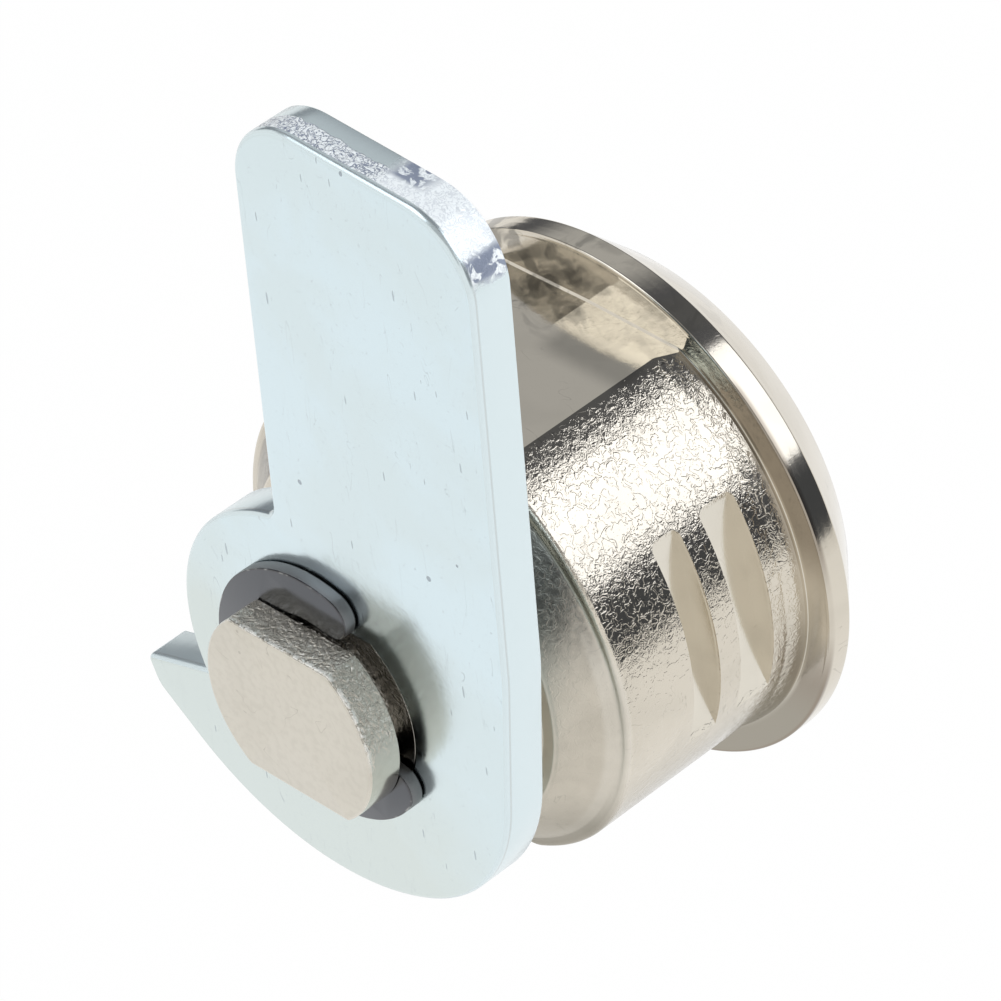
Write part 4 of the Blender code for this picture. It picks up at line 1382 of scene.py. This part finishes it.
@dataclass
class KeyPlug:
    """The key plug and its double-D spindle, one casting."""

    radius: float = 6.3 * MM
    head_radius: float = 7.0 * MM
    head_rear_y: float = 2.1 * MM
    head_front_y: float = 2.9 * MM
    shoulder_y: float = -12.5 * MM
    spindle_radius: float = 4.33 * MM
    flat_height: float = 3.44 * MM
    groove_radius: float = 3.3 * MM
    groove_rear_y: float = -15.35 * MM
    groove_front_y: float = -14.59 * MM
    end_y: float = -16.9 * MM
    end_break: float = 0.16 * MM
    stop_root: float = 5.2 * MM
    stop_front_y: float = -11.0 * MM
    stop_rear_y: float = -12.7 * MM
    stop_free: Point = (88.0, 362.0)
    keyway_width: float = 2.0 * MM
    keyway_height: float = 7.6 * MM
    keyway_ward: float = 0.5 * MM
    keyway_end_y: float = -9.9 * MM
    wafer_count: int = 6
    wafer_first_y: float = -1.7 * MM
    wafer_pitch: float = 1.5 * MM
    slot_half: float = 3.05 * MM
    slot_depth: float = 0.5 * MM
    ear_reach: float = 4.45 * MM
    ear_low: float = -0.95 * MM
    ear_high: float = 1.95 * MM
    spring_place: float = 3.7 * MM
    spring_foot: float = -4.1 * MM
    spring_top: float = -0.8 * MM
    spring_hole: float = 0.5 * MM
    shutter_x: Point = (-1.35 * MM, 2.5 * MM)
    shutter_rear_y: float = -0.618 * MM
    shutter_half: float = 4.15 * MM
    pin_x: Point = (1.44 * MM, 2.06 * MM)
    pin_rear_y: float = 2.09 * MM
    pin_half: float = 4.86 * MM
    margin: float = 2.0 * MM

    def profile(self) -> list[Point]:
        """Half section from the front of the axis to its rear.

        Returns:
            A path of (radius, y).
        """
        return Outline.softened([
            (0.0, self.head_front_y, 0.0),
            (self.head_radius, self.head_front_y, 0.08 * MM),
            (self.head_radius, self.head_rear_y, 0.0),
            (self.radius, self.head_rear_y, 0.0),
            (self.radius, self.shoulder_y, 0.08 * MM),
            (self.spindle_radius, self.shoulder_y, 0.0),
            (self.spindle_radius, self.groove_front_y, 0.03 * MM),
            (self.groove_radius, self.groove_front_y, 0.0),
            (self.groove_radius, self.groove_rear_y, 0.0),
            (self.spindle_radius, self.groove_rear_y, 0.04 * MM),
            (self.spindle_radius, self.end_y, self.end_break),
            (0.0, self.end_y, 0.0),
        ], closed=False)

    def spindle_flats(self) -> bmesh.types.BMesh:
        """Blocks that leave the spindle's flats, with the break of their end edges.

        Returns:
            The solids, as one bmesh.
        """
        reach = self.spindle_radius + self.margin
        behind = self.end_y - self.margin
        rise = self.end_break
        side = [
            (behind, self.flat_height - rise - self.margin),
            (self.end_y, self.flat_height - rise),
            (self.end_y + rise * 0.25, self.flat_height - rise * 0.3),
            (self.end_y + rise * 0.9, self.flat_height),
            (self.shoulder_y, self.flat_height),
            (self.shoulder_y, reach),
            (behind, reach),
        ]
        lower = [(y, -z) for y, z in reversed(side)]
        return Maker.extruded([side, lower], -reach, reach, Maker.ALONG_X)

    def stop_relief(self) -> bmesh.types.BMesh:
        """What turns the rear journal down, apart from the stop lug.

        Returns:
            The solid.
        """
        first, last = self.stop_free
        sector = Outline.arc((0, 0), self.stop_root, first, last, Outline.FINE_STEP)
        sector += Outline.arc((0, 0), self.radius + self.margin, last, first, Outline.FINE_STEP)
        return Maker.plate([sector], self.stop_rear_y, self.stop_front_y)

    def keyway(self) -> bmesh.types.BMesh:
        """The key's slot, with one ward.

        Returns:
            The solid.
        """
        half, tall, ward = self.keyway_width / 2, self.keyway_height / 2, self.keyway_ward
        outline = [(-half, -tall), (half, -tall), (half, tall), (-half, tall), (-half, ward),
                   (ward - half, ward / 2), (ward - half, -ward / 2), (-half, -ward)]
        return Maker.plate([outline], self.keyway_end_y, self.head_front_y + self.margin)

    def wafer_slots(self) -> list[bmesh.types.BMesh]:
        """A slot for each wafer, with its ear's pocket and its spring's hole.

        Returns:
            The solids.
        """
        reach = self.radius + self.margin
        solids = []
        for index in range(self.wafer_count):
            middle = self.wafer_first_y - index * self.wafer_pitch
            side = 1.0 if index % 2 == 0 else -1.0
            half, ear = self.slot_half, self.ear_reach
            outline = [(-half, -reach), (half, -reach), (half, self.ear_low), (ear, self.ear_low),
                       (ear, self.ear_high), (half, self.ear_high), (half, reach), (-half, reach)]
            turned = [(side * x, z) for x, z in outline]
            solids.append(Maker.plate([turned], middle - self.slot_depth, middle + self.slot_depth))
            centre = (side * self.spring_place, middle)
            hole = Outline.arc(centre, self.spring_hole, 0.0, 360.0 - Outline.COARSE_STEP,
                               Outline.COARSE_STEP)
            solids.append(Maker.upright([hole], self.spring_foot, self.spring_top))
        return solids

    def shutter_room(self) -> list[bmesh.types.BMesh]:
        """The pocket where the dust shutter swings, and the seat of its pin.

        Returns:
            The two solids.
        """
        front = self.head_front_y + self.margin
        room = Outline.box(*self.shutter_x, self.shutter_rear_y, front)
        seat = Outline.box(*self.pin_x, self.pin_rear_y, front)
        return [Maker.upright([room], -self.shutter_half, self.shutter_half),
                Maker.upright([seat], -self.pin_half, self.pin_half)]

    def build(self, casting: bpy.types.Material) -> bpy.types.Object:
        """Build the plug and dress it.

        Args:
            casting: Its finish.

        Returns:
            The piece.
        """
        thing = Maker.piece("key_plug_casting", Maker.spun(self.profile(), False, Maker.INNER_STEPS))
        Maker.carve(thing, [self.spindle_flats(), self.stop_relief(), self.keyway(),
                            *self.wafer_slots(), *self.shutter_room()])
        Maker.smooth(thing, 25.0)
        thing.data.materials.clear()
        thing.data.materials.append(casting)
        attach(thing, Body.PLUG.value)
        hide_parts("key_plug")
        return thing


@dataclass
class PlugCap:
    """The thin cap rolled over the plug's head."""

    radius: float = 7.5 * MM
    front_y: float = 3.45 * MM
    inner_y: float = 3.1 * MM
    skirt_y: float = 2.1 * MM
    skirt_wall: float = 0.3 * MM
    slot_width: float = 2.0 * MM
    slot_height: float = 7.6 * MM
    slot_round: float = 0.15 * MM
    slot_rear_y: float = 1.9 * MM
    margin: float = 2.0 * MM

    def build(self, stainless: bpy.types.Material) -> bpy.types.Object:
        """Build the cap and dress it.

        Args:
            stainless: Its finish.

        Returns:
            The piece.
        """
        inner = self.radius - self.skirt_wall
        profile = Outline.softened([
            (0.0, self.front_y, 0.0),
            (self.radius, self.front_y, 0.2 * MM),
            (self.radius, self.skirt_y, 0.05 * MM),
            (inner, self.skirt_y, 0.05 * MM),
            (inner, self.inner_y, 0.1 * MM),
            (0.0, self.inner_y, 0.0),
        ], closed=False)
        thing = Maker.piece("plug_cap_shell", Maker.spun(profile, False, Maker.INNER_STEPS))
        half, tall = self.slot_width / 2, self.slot_height / 2
        corners = Outline.box(-half, half, -tall, tall)
        slot = Outline.softened([(x, z, self.slot_round) for x, z in corners])
        Maker.carve(thing, [Maker.plate([slot], self.slot_rear_y, self.front_y + self.margin)])
        Maker.smooth(thing, 25.0)
        thing.data.materials.clear()
        thing.data.materials.append(stainless)
        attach(thing, Body.PLUG.value)
        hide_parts("plug_cap")
        return thing


@dataclass
class Cam:
    """The punched cam plate: blade, hub, heel and pointed tail."""

    rear_y: float = -12.75 * MM
    front_y: float = -14.65 * MM
    turn: float = 3.3
    blade_left: float = 2.28 * MM
    blade_right: float = 9.5 * MM
    blade_top: float = 25.8 * MM
    left_corner: float = 3.1 * MM
    right_corner: float = 3.0 * MM
    hub_radius: float = 7.52 * MM
    hub_centre: Point = (-0.45 * MM, -0.25 * MM)
    hub_fillet: float = 0.7 * MM
    heel_radius: float = 9.05 * MM
    heel_end: float = -63.0
    bend_height: float = 5.7 * MM
    bend_round: float = 9.0 * MM
    keel_reach: float = 2.43 * MM
    keel_round: float = 11.8 * MM
    chin_reach: float = 10.3 * MM
    chin_drop: float = 5.75 * MM
    chin_round: float = 1.2 * MM
    tip_reach: float = 10.78 * MM
    tip_drop: float = 4.55 * MM
    tip_round: float = 0.25 * MM
    tail_root: float = 204.0
    front_round: float = 0.24 * MM
    rear_round: float = 0.06 * MM
    hole_radius: float = 4.45 * MM
    hole_flat: float = 3.56 * MM
    hole_margin: float = 1.0 * MM
    front_segments: int = 6
    rear_segments: int = 2
    face_facing: float = 0.80
    step: float = 3.0
    corner_step: float = 6.0
    fillet_step: float = 8.0

    def outline(self) -> list[Point]:
        """The cam's outline, turned as it sits on the spindle.

        Returns:
            Points in (x, z).
        """
        top_left = (-self.blade_left, self.blade_top)
        top_right = (self.blade_right, self.blade_top)
        bend = (self.blade_right, self.bend_height)
        heel_start = degrees(atan2(bend[1], bend[0]) - acos(self.heel_radius / hypot(*bend)))
        heel = Outline.arc((0, 0), self.heel_radius, heel_start, self.heel_end, self.step)
        heel_end = radians(self.heel_end)
        keel_z = (self.heel_radius + self.keel_reach * cos(heel_end)) / sin(heel_end)
        keel = (-self.keel_reach, keel_z)
        chin = (-self.chin_reach, -self.chin_drop)
        tip = (-self.tip_reach, -self.tip_drop)
        fillet_x = -self.blade_left - self.hub_fillet
        fillet_left = fillet_x - self.hub_centre[0]
        fillet_rise = sqrt((self.hub_radius + self.hub_fillet) ** 2 - fillet_left**2)
        fillet_z = self.hub_centre[1] + fillet_rise
        hub_end = degrees(atan2(fillet_rise, fillet_left))
        hub = Outline.arc(self.hub_centre, self.hub_radius, self.tail_root, hub_end, self.step)
        points = Outline.corner((-self.blade_left, 0.0), top_left, top_right, self.left_corner,
                                self.corner_step)
        points += Outline.corner(top_left, top_right, bend, self.right_corner, self.corner_step)
        points += Outline.corner(top_right, bend, heel[0], self.bend_round, self.step)
        points += heel
        points += Outline.corner(heel[-1], keel, chin, self.keel_round, self.step)
        points += Outline.corner(keel, chin, tip, self.chin_round, self.corner_step)
        points += Outline.corner(chin, tip, hub[0], self.tip_round, Outline.COARSE_STEP)
        points += hub
        points += Outline.arc((fillet_x, fillet_z), self.hub_fillet, hub_end - 180.0, 0.0,
                              self.fillet_step)[1:]
        swing = radians(self.turn)
        return [(x * cos(swing) + z * sin(swing), z * cos(swing) - x * sin(swing))
                for x, z in points]

    def hole(self) -> bmesh.types.BMesh:
        """The double-D hole.

        Returns:
            The solid.
        """
        edge = degrees(atan2(self.hole_flat, sqrt(self.hole_radius**2 - self.hole_flat**2)))
        outline = Outline.arc((0, 0), self.hole_radius, -edge, edge, self.step)
        outline += Outline.arc((0, 0), self.hole_radius, 180 - edge, 180 + edge, self.step)
        return Maker.plate([outline], self.front_y - self.hole_margin, self.rear_y + self.hole_margin)

    def rounded(self, bm: bmesh.types.BMesh, y: float, width: float, segments: int) -> None:
        """Round the plate's edges at one face.

        Args:
            bm: The plate.
            y: The face's plane.
            width: The rounding's width.
            segments: Its segments.
        """
        edges = [edge for edge in bm.edges if all(abs(vert.co.y - y) < LEVEL for vert in edge.verts)]
        bmesh.ops.bevel(bm, geom=edges, offset=width, segments=segments, profile=0.5,
                        affect="EDGES", material=-1)

    def build(self, face: bpy.types.Material, edge: bpy.types.Material) -> bpy.types.Object:
        """Build the cam and dress its faces and edges.

        Args:
            face: Finish of the flat faces.
            edge: Finish of the punched edge.

        Returns:
            The piece.
        """
        bm = Maker.plate([self.outline()], self.rear_y, self.front_y)
        self.rounded(bm, self.front_y, self.front_round, self.front_segments)
        self.rounded(bm, self.rear_y, self.rear_round, self.rear_segments)
        thing = Maker.piece("cam_plate", bm)
        Maker.carve(thing, [self.hole()])
        thing.data.materials.clear()
        thing.data.materials.append(face)
        thing.data.materials.append(edge)
        for polygon in thing.data.polygons:
            polygon.material_index = 0 if abs(polygon.normal.y) > self.face_facing else 1
        Maker.smooth(thing, 30.0)
        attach(thing, Body.PLUG.value)
        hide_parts("cam")
        return thing


@dataclass
class RetainingClip:
    """The horseshoe clip in the spindle's groove."""

    rear_y: float = -14.71 * MM
    front_y: float = -15.29 * MM
    outer: float = 5.35 * MM
    inner: float = 3.5 * MM
    lift: float = 0.18 * MM
    upper_end: float = 62.0
    lower_end: float = -24.0
    edge_break: float = 0.06 * MM
    side_facing: float = 0.1
    step: float = 3.0
    end_step: float = 12.0

    def outline(self) -> list[Point]:
        """A ring open to the right, with rounded ends.

        Returns:
            Points in (x, z).
        """
        middle = (self.outer + self.inner) / 2
        half = (self.outer - self.inner) / 2
        trim = degrees(half / middle)
        upper = self.upper_end + trim
        lower = self.lower_end + 360.0 - trim
        points = Outline.arc((0, 0), self.outer, upper, lower, self.step)
        low_turn, high_turn = radians(lower), radians(upper)
        low_centre = (middle * cos(low_turn), middle * sin(low_turn))
        high_centre = (middle * cos(high_turn), middle * sin(high_turn))
        points += Outline.arc(low_centre, half, lower, lower + 180.0, self.end_step)[1:-1]
        points += Outline.arc((0, 0), self.inner, lower, upper, self.step)
        points += Outline.arc(high_centre, half, upper + 180.0, upper + 360.0, self.end_step)[1:-1]
        return [(x, z + self.lift) for x, z in points]

    def build(self, black: bpy.types.Material, rim: bpy.types.Material,
              side: bpy.types.Material) -> bpy.types.Object:
        """Build the clip and dress it.

        Args:
            black: Finish of the clip's faces.
            rim: Finish of its worn edges.
            side: Finish of its cut sides.

        Returns:
            The piece.
        """
        bm = Maker.plate([self.outline()], self.rear_y, self.front_y)
        edges = [edge for edge in bm.edges
                 if abs(edge.verts[0].co.y - edge.verts[1].co.y) < LEVEL]
        made = bmesh.ops.bevel(bm, geom=edges, offset=self.edge_break, segments=2, profile=0.5,
                               affect="EDGES", material=-1)
        for strip in made["faces"]:
            strip.material_index = 1
        bm.normal_update()
        for face in bm.faces:
            if abs(face.normal.y) < self.side_facing:
                face.material_index = 2
        thing = Maker.piece("retaining_clip_plate", bm)
        for finish in (black, rim, side):
            thing.data.materials.append(finish)
        Maker.smooth(thing, 30.0)
        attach(thing, Body.PLUG.value)
        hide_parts("retaining_clip")
        return thing


@dataclass
class WaferSprings:
    """The coil springs under the wafers' ears, each from its foot in the plug up to its wafer's ear."""

    count: int = 6
    first_y: float = -1.7 * MM
    pitch: float = 1.5 * MM
    place: float = 3.7 * MM
    foot: float = -4.1 * MM
    ear_foot: float = -0.2 * MM
    end_gap: float = 0.04 * MM
    coil_radius: float = 0.33 * MM
    wire_radius: float = 0.08 * MM
    turns: int = 5
    steps_per_turn: int = 24
    sides: int = 10

    def centre_line(self, x: float, y: float) -> list[Vector]:
        """The middle of the wire, whose pitch closes in towards both ends.

        Args:
            x: The coil's middle.
            y: The coil's middle.

        Returns:
            The points, from foot to top.
        """
        low = self.foot + self.wire_radius + self.end_gap
        high = self.ear_foot - self.wire_radius - self.end_gap
        total = self.turns * self.steps_per_turn
        points = []
        for index in range(total + 1):
            share = index / total
            risen = (share + (1.0 - cos(pi * share)) / 2) / 2
            angle = 2 * pi * self.turns * share
            points.append(Vector((x + self.coil_radius * cos(angle), y + self.coil_radius * sin(angle),
                                  low + (high - low) * risen)))
        return points

    def wire(self, points: list[Vector]) -> bmesh.types.BMesh:
        """A round wire, extruded from point to point and closed at both ends.

        Args:
            points: The wire's middle.

        Returns:
            The solid.
        """
        frames = []
        for before, here, after in zip(points[:1] + points, points, points[1:] + points[-1:]):
            along = (after - before).normalized()
            aside = along.cross(Vector((0.0, 0.0, 1.0))).normalized()
            axes = Matrix((along.cross(aside), aside, -along)).transposed()
            frames.append(Matrix.Translation(here) @ axes.to_4x4())
        bm = bmesh.new()
        bmesh.ops.create_circle(bm, cap_ends=True, radius=self.wire_radius, segments=self.sides,
                                matrix=frames[0])
        tip = next(iter(bm.faces))
        for before, here in zip(frames, frames[1:]):
            made = bmesh.ops.extrude_face_region(bm, geom=[tip, *tip.edges])["geom"]
            tip = next(item for item in made if isinstance(item, bmesh.types.BMFace))
            bmesh.ops.transform(bm, matrix=here @ before.inverted(), verts=list(tip.verts))
        bmesh.ops.recalc_face_normals(bm, faces=bm.faces)
        return bm

    def build(self, steel: bpy.types.Material) -> list[bpy.types.Object]:
        """Build the springs and dress them.

        Args:
            steel: Their finish.

        Returns:
            The pieces.
        """
        pieces = []
        for index in range(self.count):
            x = self.place if index % 2 == 0 else -self.place
            y = self.first_y - index * self.pitch
            thing = Maker.piece(f"wafer_coil_{index + 1}", self.wire(self.centre_line(x, y)))
            Maker.smooth(thing, 40.0)
            thing.data.materials.append(steel)
            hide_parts(f"wafer_spring_{index + 1}")
            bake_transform(thing)
            pieces.append(thing)
        return pieces


@dataclass
class SmallParts:
    """The CAD nodes inside, which keep their meshes and get finer finishes."""

    brass: bpy.types.Material
    steel: bpy.types.Material
    stainless: bpy.types.Material

    def dress(self) -> list[str]:
        """Dress every CAD node that still shows.

        Returns:
            The names of the dressed nodes.
        """
        dressed = []
        for name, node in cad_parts.items():
            if node.hide_render:
                continue
            if name in ("shutter_spring", "shutter_pin"):
                finish = self.steel
            elif name.startswith("wafer"):
                finish = self.brass
            else:
                finish = self.stainless
            for place in node.material_slots:
                place.material = finish
            dressed.append(name)
        return dressed


@dataclass(frozen=True)
class LightCard:
    """A bright or dark area of the studio, seen in reflections."""

    title: str
    direction: tuple[float, float, float]
    reach: tuple[float, float, float]
    colour: Colour
    softness: float = 0.35


@dataclass
class Studio:
    """The world, floor, lamp and camera."""

    ground: Colour = (0.95, 0.945, 0.935)
    front_upper: Colour = (0.36, 0.36, 0.36)
    rear_upper: Colour = (0.10, 0.105, 0.12)
    cards: tuple[LightCard, ...] = (
        LightCard("far grey", (-0.62, 0.51, 0.66), (0.55, 0.45, 0.55), (0.51, 0.52, 0.53), 0.6),
        LightCard("high dark", (0.05, 0.51, 0.86), (0.16, 0.9, 0.6), (0.11, 0.115, 0.125), 0.45),
        LightCard("softbox", (0.63, 0.50, 0.58), (0.44, 0.55, 0.385), (1.75, 1.79, 1.88), 0.12),
        LightCard("low dark", (0.86, 0.50, -0.035), (0.50, 0.60, 0.24), (0.07, 0.075, 0.085), 0.25),
        LightCard("overhead", (-0.35, -0.51, 0.83), (0.355, 0.45, 0.355), (1.78, 1.85, 1.95), 0.06),
        LightCard("front grey", (0.72, -0.51, 0.40), (0.40, 0.35, 0.25), (0.30, 0.30, 0.30), 0.7),
    )
    front_edge: Fade = Fade(0.50, 0.575)
    rear_edge: Fade = Fade(0.02, 0.07)
    half_edge: Fade = Fade(-0.10, 0.10)
    floor_z: float = -40.0 * MM
    floor_radius: float = 130.0 * MM
    floor_segments: int = 96
    floor_colour: Colour = (0.9, 0.9, 0.9)
    floor_roughness: float = 0.9
    floor_glow: float = 0.985
    white: Colour = (1.0, 1.0, 1.0)
    lamp_power: float = 0.9
    lamp_size: float = 0.16
    lamp_place: tuple[float, float, float] = (0.24, 0.19, 0.30)
    lens: float = 236.3
    sensor: float = 36.0
    azimuth: float = 49.7597
    elevation: float = 37.7984
    roll: float = -7.4640
    camera_place: tuple[float, float, float] = (147.84 * MM, -129.17 * MM, 152.16 * MM)
    shift: Point = (-0.02936, 0.00609)

    def build_world(self) -> None:
        """A pale ground, a darker upper half, and the cards."""
        world = bpy.data.worlds.new("studio")
        bpy.context.scene.world = world
        world.use_nodes = True
        sheet = Sheet(world.node_tree)
        direction = sheet.node("ShaderNodeTexCoord").outputs["Generated"]
        split = sheet.node("ShaderNodeSeparateXYZ")
        sheet.feed(split.inputs["Vector"], direction)
        height = split.outputs["Z"]
        front = sheet.mix(sheet.fade(height, self.front_edge), self.ground, self.front_upper)
        rear = sheet.mix(sheet.fade(height, self.rear_edge), self.ground, self.rear_upper)
        sky = sheet.mix(sheet.fade(split.outputs["Y"], self.half_edge), front, rear)
        for card in self.cards:
            away = sheet.vector("SUBTRACT", direction, card.direction).outputs["Vector"]
            scaled = sheet.vector("DIVIDE", away, card.reach).outputs["Vector"]
            distance = sheet.vector("LENGTH", scaled).outputs["Value"]
            inside = sheet.step(distance, 1.0, 1.0 - card.softness)
            sky = sheet.mix(inside, sky, card.colour)
            sky.node.label = card.title
        path = sheet.node("ShaderNodeLightPath")
        shown = sheet.mix(path.outputs["Is Camera Ray"], sky, self.white)
        background = world.node_tree.nodes["Background"]
        sheet.feed(background.inputs["Color"], shown)
        background.inputs["Strength"].default_value = 1.0

    def build_floor(self) -> None:
        """A round white floor well below the lock, which keeps a faint shadow."""
        bm = bmesh.new()
        bmesh.ops.create_circle(bm, cap_ends=True, radius=self.floor_radius,
                                segments=self.floor_segments,
                                matrix=Matrix.Translation((0.0, 0.0, self.floor_z)))
        floor = Maker.piece("floor", bm)
        material = bpy.data.materials.new("floor_white")
        material.use_nodes = True
        sheet = Sheet(material.node_tree)
        shader = material.node_tree.nodes["Principled BSDF"]
        shader.inputs["Base Color"].default_value = sheet.full(self.floor_colour)
        shader.inputs["Roughness"].default_value = self.floor_roughness
        glow = sheet.node("ShaderNodeEmission")
        glow.inputs["Color"].default_value = sheet.full(self.white)
        path = sheet.node("ShaderNodeLightPath")
        rays = sheet.most(path.outputs["Is Camera Ray"], path.outputs["Is Glossy Ray"],
                          path.outputs["Is Transmission Ray"])
        blend = sheet.node("ShaderNodeMixShader")
        sheet.feed(blend.inputs[0], sheet.times(rays, self.floor_glow))
        sheet.feed(blend.inputs[1], shader.outputs[0])
        sheet.feed(blend.inputs[2], glow.outputs[0])
        sheet.feed(material.node_tree.nodes["Material Output"].inputs["Surface"], blend.outputs[0])
        floor.data.materials.append(material)

    def build_lamp(self) -> None:
        """A soft lamp above and to the right, for the shadow."""
        light = bpy.data.lights.new("softbox", "AREA")
        light.shape = "DISK"
        light.size = self.lamp_size
        light.energy = self.lamp_power
        lamp = bpy.data.objects.new("softbox", light)
        bpy.context.scene.collection.objects.link(lamp)
        place = Vector(self.lamp_place)
        lamp.matrix_world = Matrix.Translation(place) @ place.to_track_quat("Z", "Y").to_matrix().to_4x4()
        lamp.visible_camera = False
        lamp.visible_glossy = False

    def build_camera(self) -> None:
        """The camera, fitted to the photograph's view of the circles, flats and edges."""
        data = bpy.data.cameras.new("camera")
        data.lens = self.lens
        data.sensor_width = self.sensor
        data.shift_x, data.shift_y = self.shift
        data.clip_start = 0.01
        data.clip_end = 10.0
        camera = bpy.data.objects.new("camera", data)
        bpy.context.scene.collection.objects.link(camera)
        a, e, r = radians(self.azimuth), radians(self.elevation), radians(self.roll)
        back = Vector((sin(a) * cos(e), -cos(a) * cos(e), sin(e)))
        right = Vector((cos(a), sin(a), 0.0))
        up = back.cross(right)
        turned_right = right * cos(r) + up * sin(r)
        turned_up = up * cos(r) - right * sin(r)
        axes = Matrix((turned_right, turned_up, back)).transposed().to_4x4()
        camera.matrix_world = Matrix.Translation(self.camera_place) @ axes
        bpy.context.scene.camera = camera

    def build(self) -> None:
        """Build the studio."""
        self.build_world()
        self.build_floor()
        self.build_lamp()
        self.build_camera()
        bpy.context.scene.view_settings.view_transform = "Standard"


def main() -> None:
    """Build the studio and every piece."""
    logging.basicConfig(level=logging.INFO, format="%(name)s: %(message)s")
    effects = EffectShelf()
    nickel = NickelFinish().build(effects)
    # Painted light: a lighter copy of the nickel for the clip slots' floors.
    lit_slot_nickel = NickelFinish("nickel_slot_floor_lit", colour=(0.745, 0.705, 0.62),
                               stain=(0.60, 0.56, 0.48)).build(effects)
    casting = SpindleFinish().build(effects)
    zinc_face = ZincFaceFinish().build(effects)
    zinc_edge = ZincEdgeFinish().build(effects)
    black = BlackSteelFinish("black_steel", (0.125, 0.13, 0.14)).build(effects)
    black_rim = BlackSteelFinish("black_steel_rim", (0.11, 0.11, 0.115),
                                 wear=Fade(0.52, 0.64)).build(effects)
    black_side = BlackSteelFinish("black_steel_side", (0.25, 0.25, 0.255), roughness=0.5).build(effects)
    stainless = PlainMetalFinish("stainless", (0.66, 0.65, 0.63), (0.5, 0.49, 0.47), 0.22).build(effects)
    brass = PlainMetalFinish("brass", (0.72, 0.53, 0.25), (0.5, 0.36, 0.18), 0.3,
                             line_scale=4000.0).build(effects)
    steel = PlainMetalFinish("spring_wire", (0.55, 0.55, 0.56), (0.4, 0.4, 0.4), 0.3).build(effects)
    Studio().build()
    pieces = [
        LockBody().build(nickel, lit_slot_nickel),
        KeyPlug().build(casting),
        PlugCap().build(stainless),
        Cam().build(zinc_face, zinc_edge),
        RetainingClip().build(black, black_rim, black_side),
        *WaferSprings().build(steel),
    ]
    for piece in pieces:
        log.info("%s: %d faces", piece.name, len(piece.data.polygons))
    for name in SmallParts(brass, steel, stainless).dress():
        log.info("dressed %s", name)


if __name__ == "__main__":
    main()
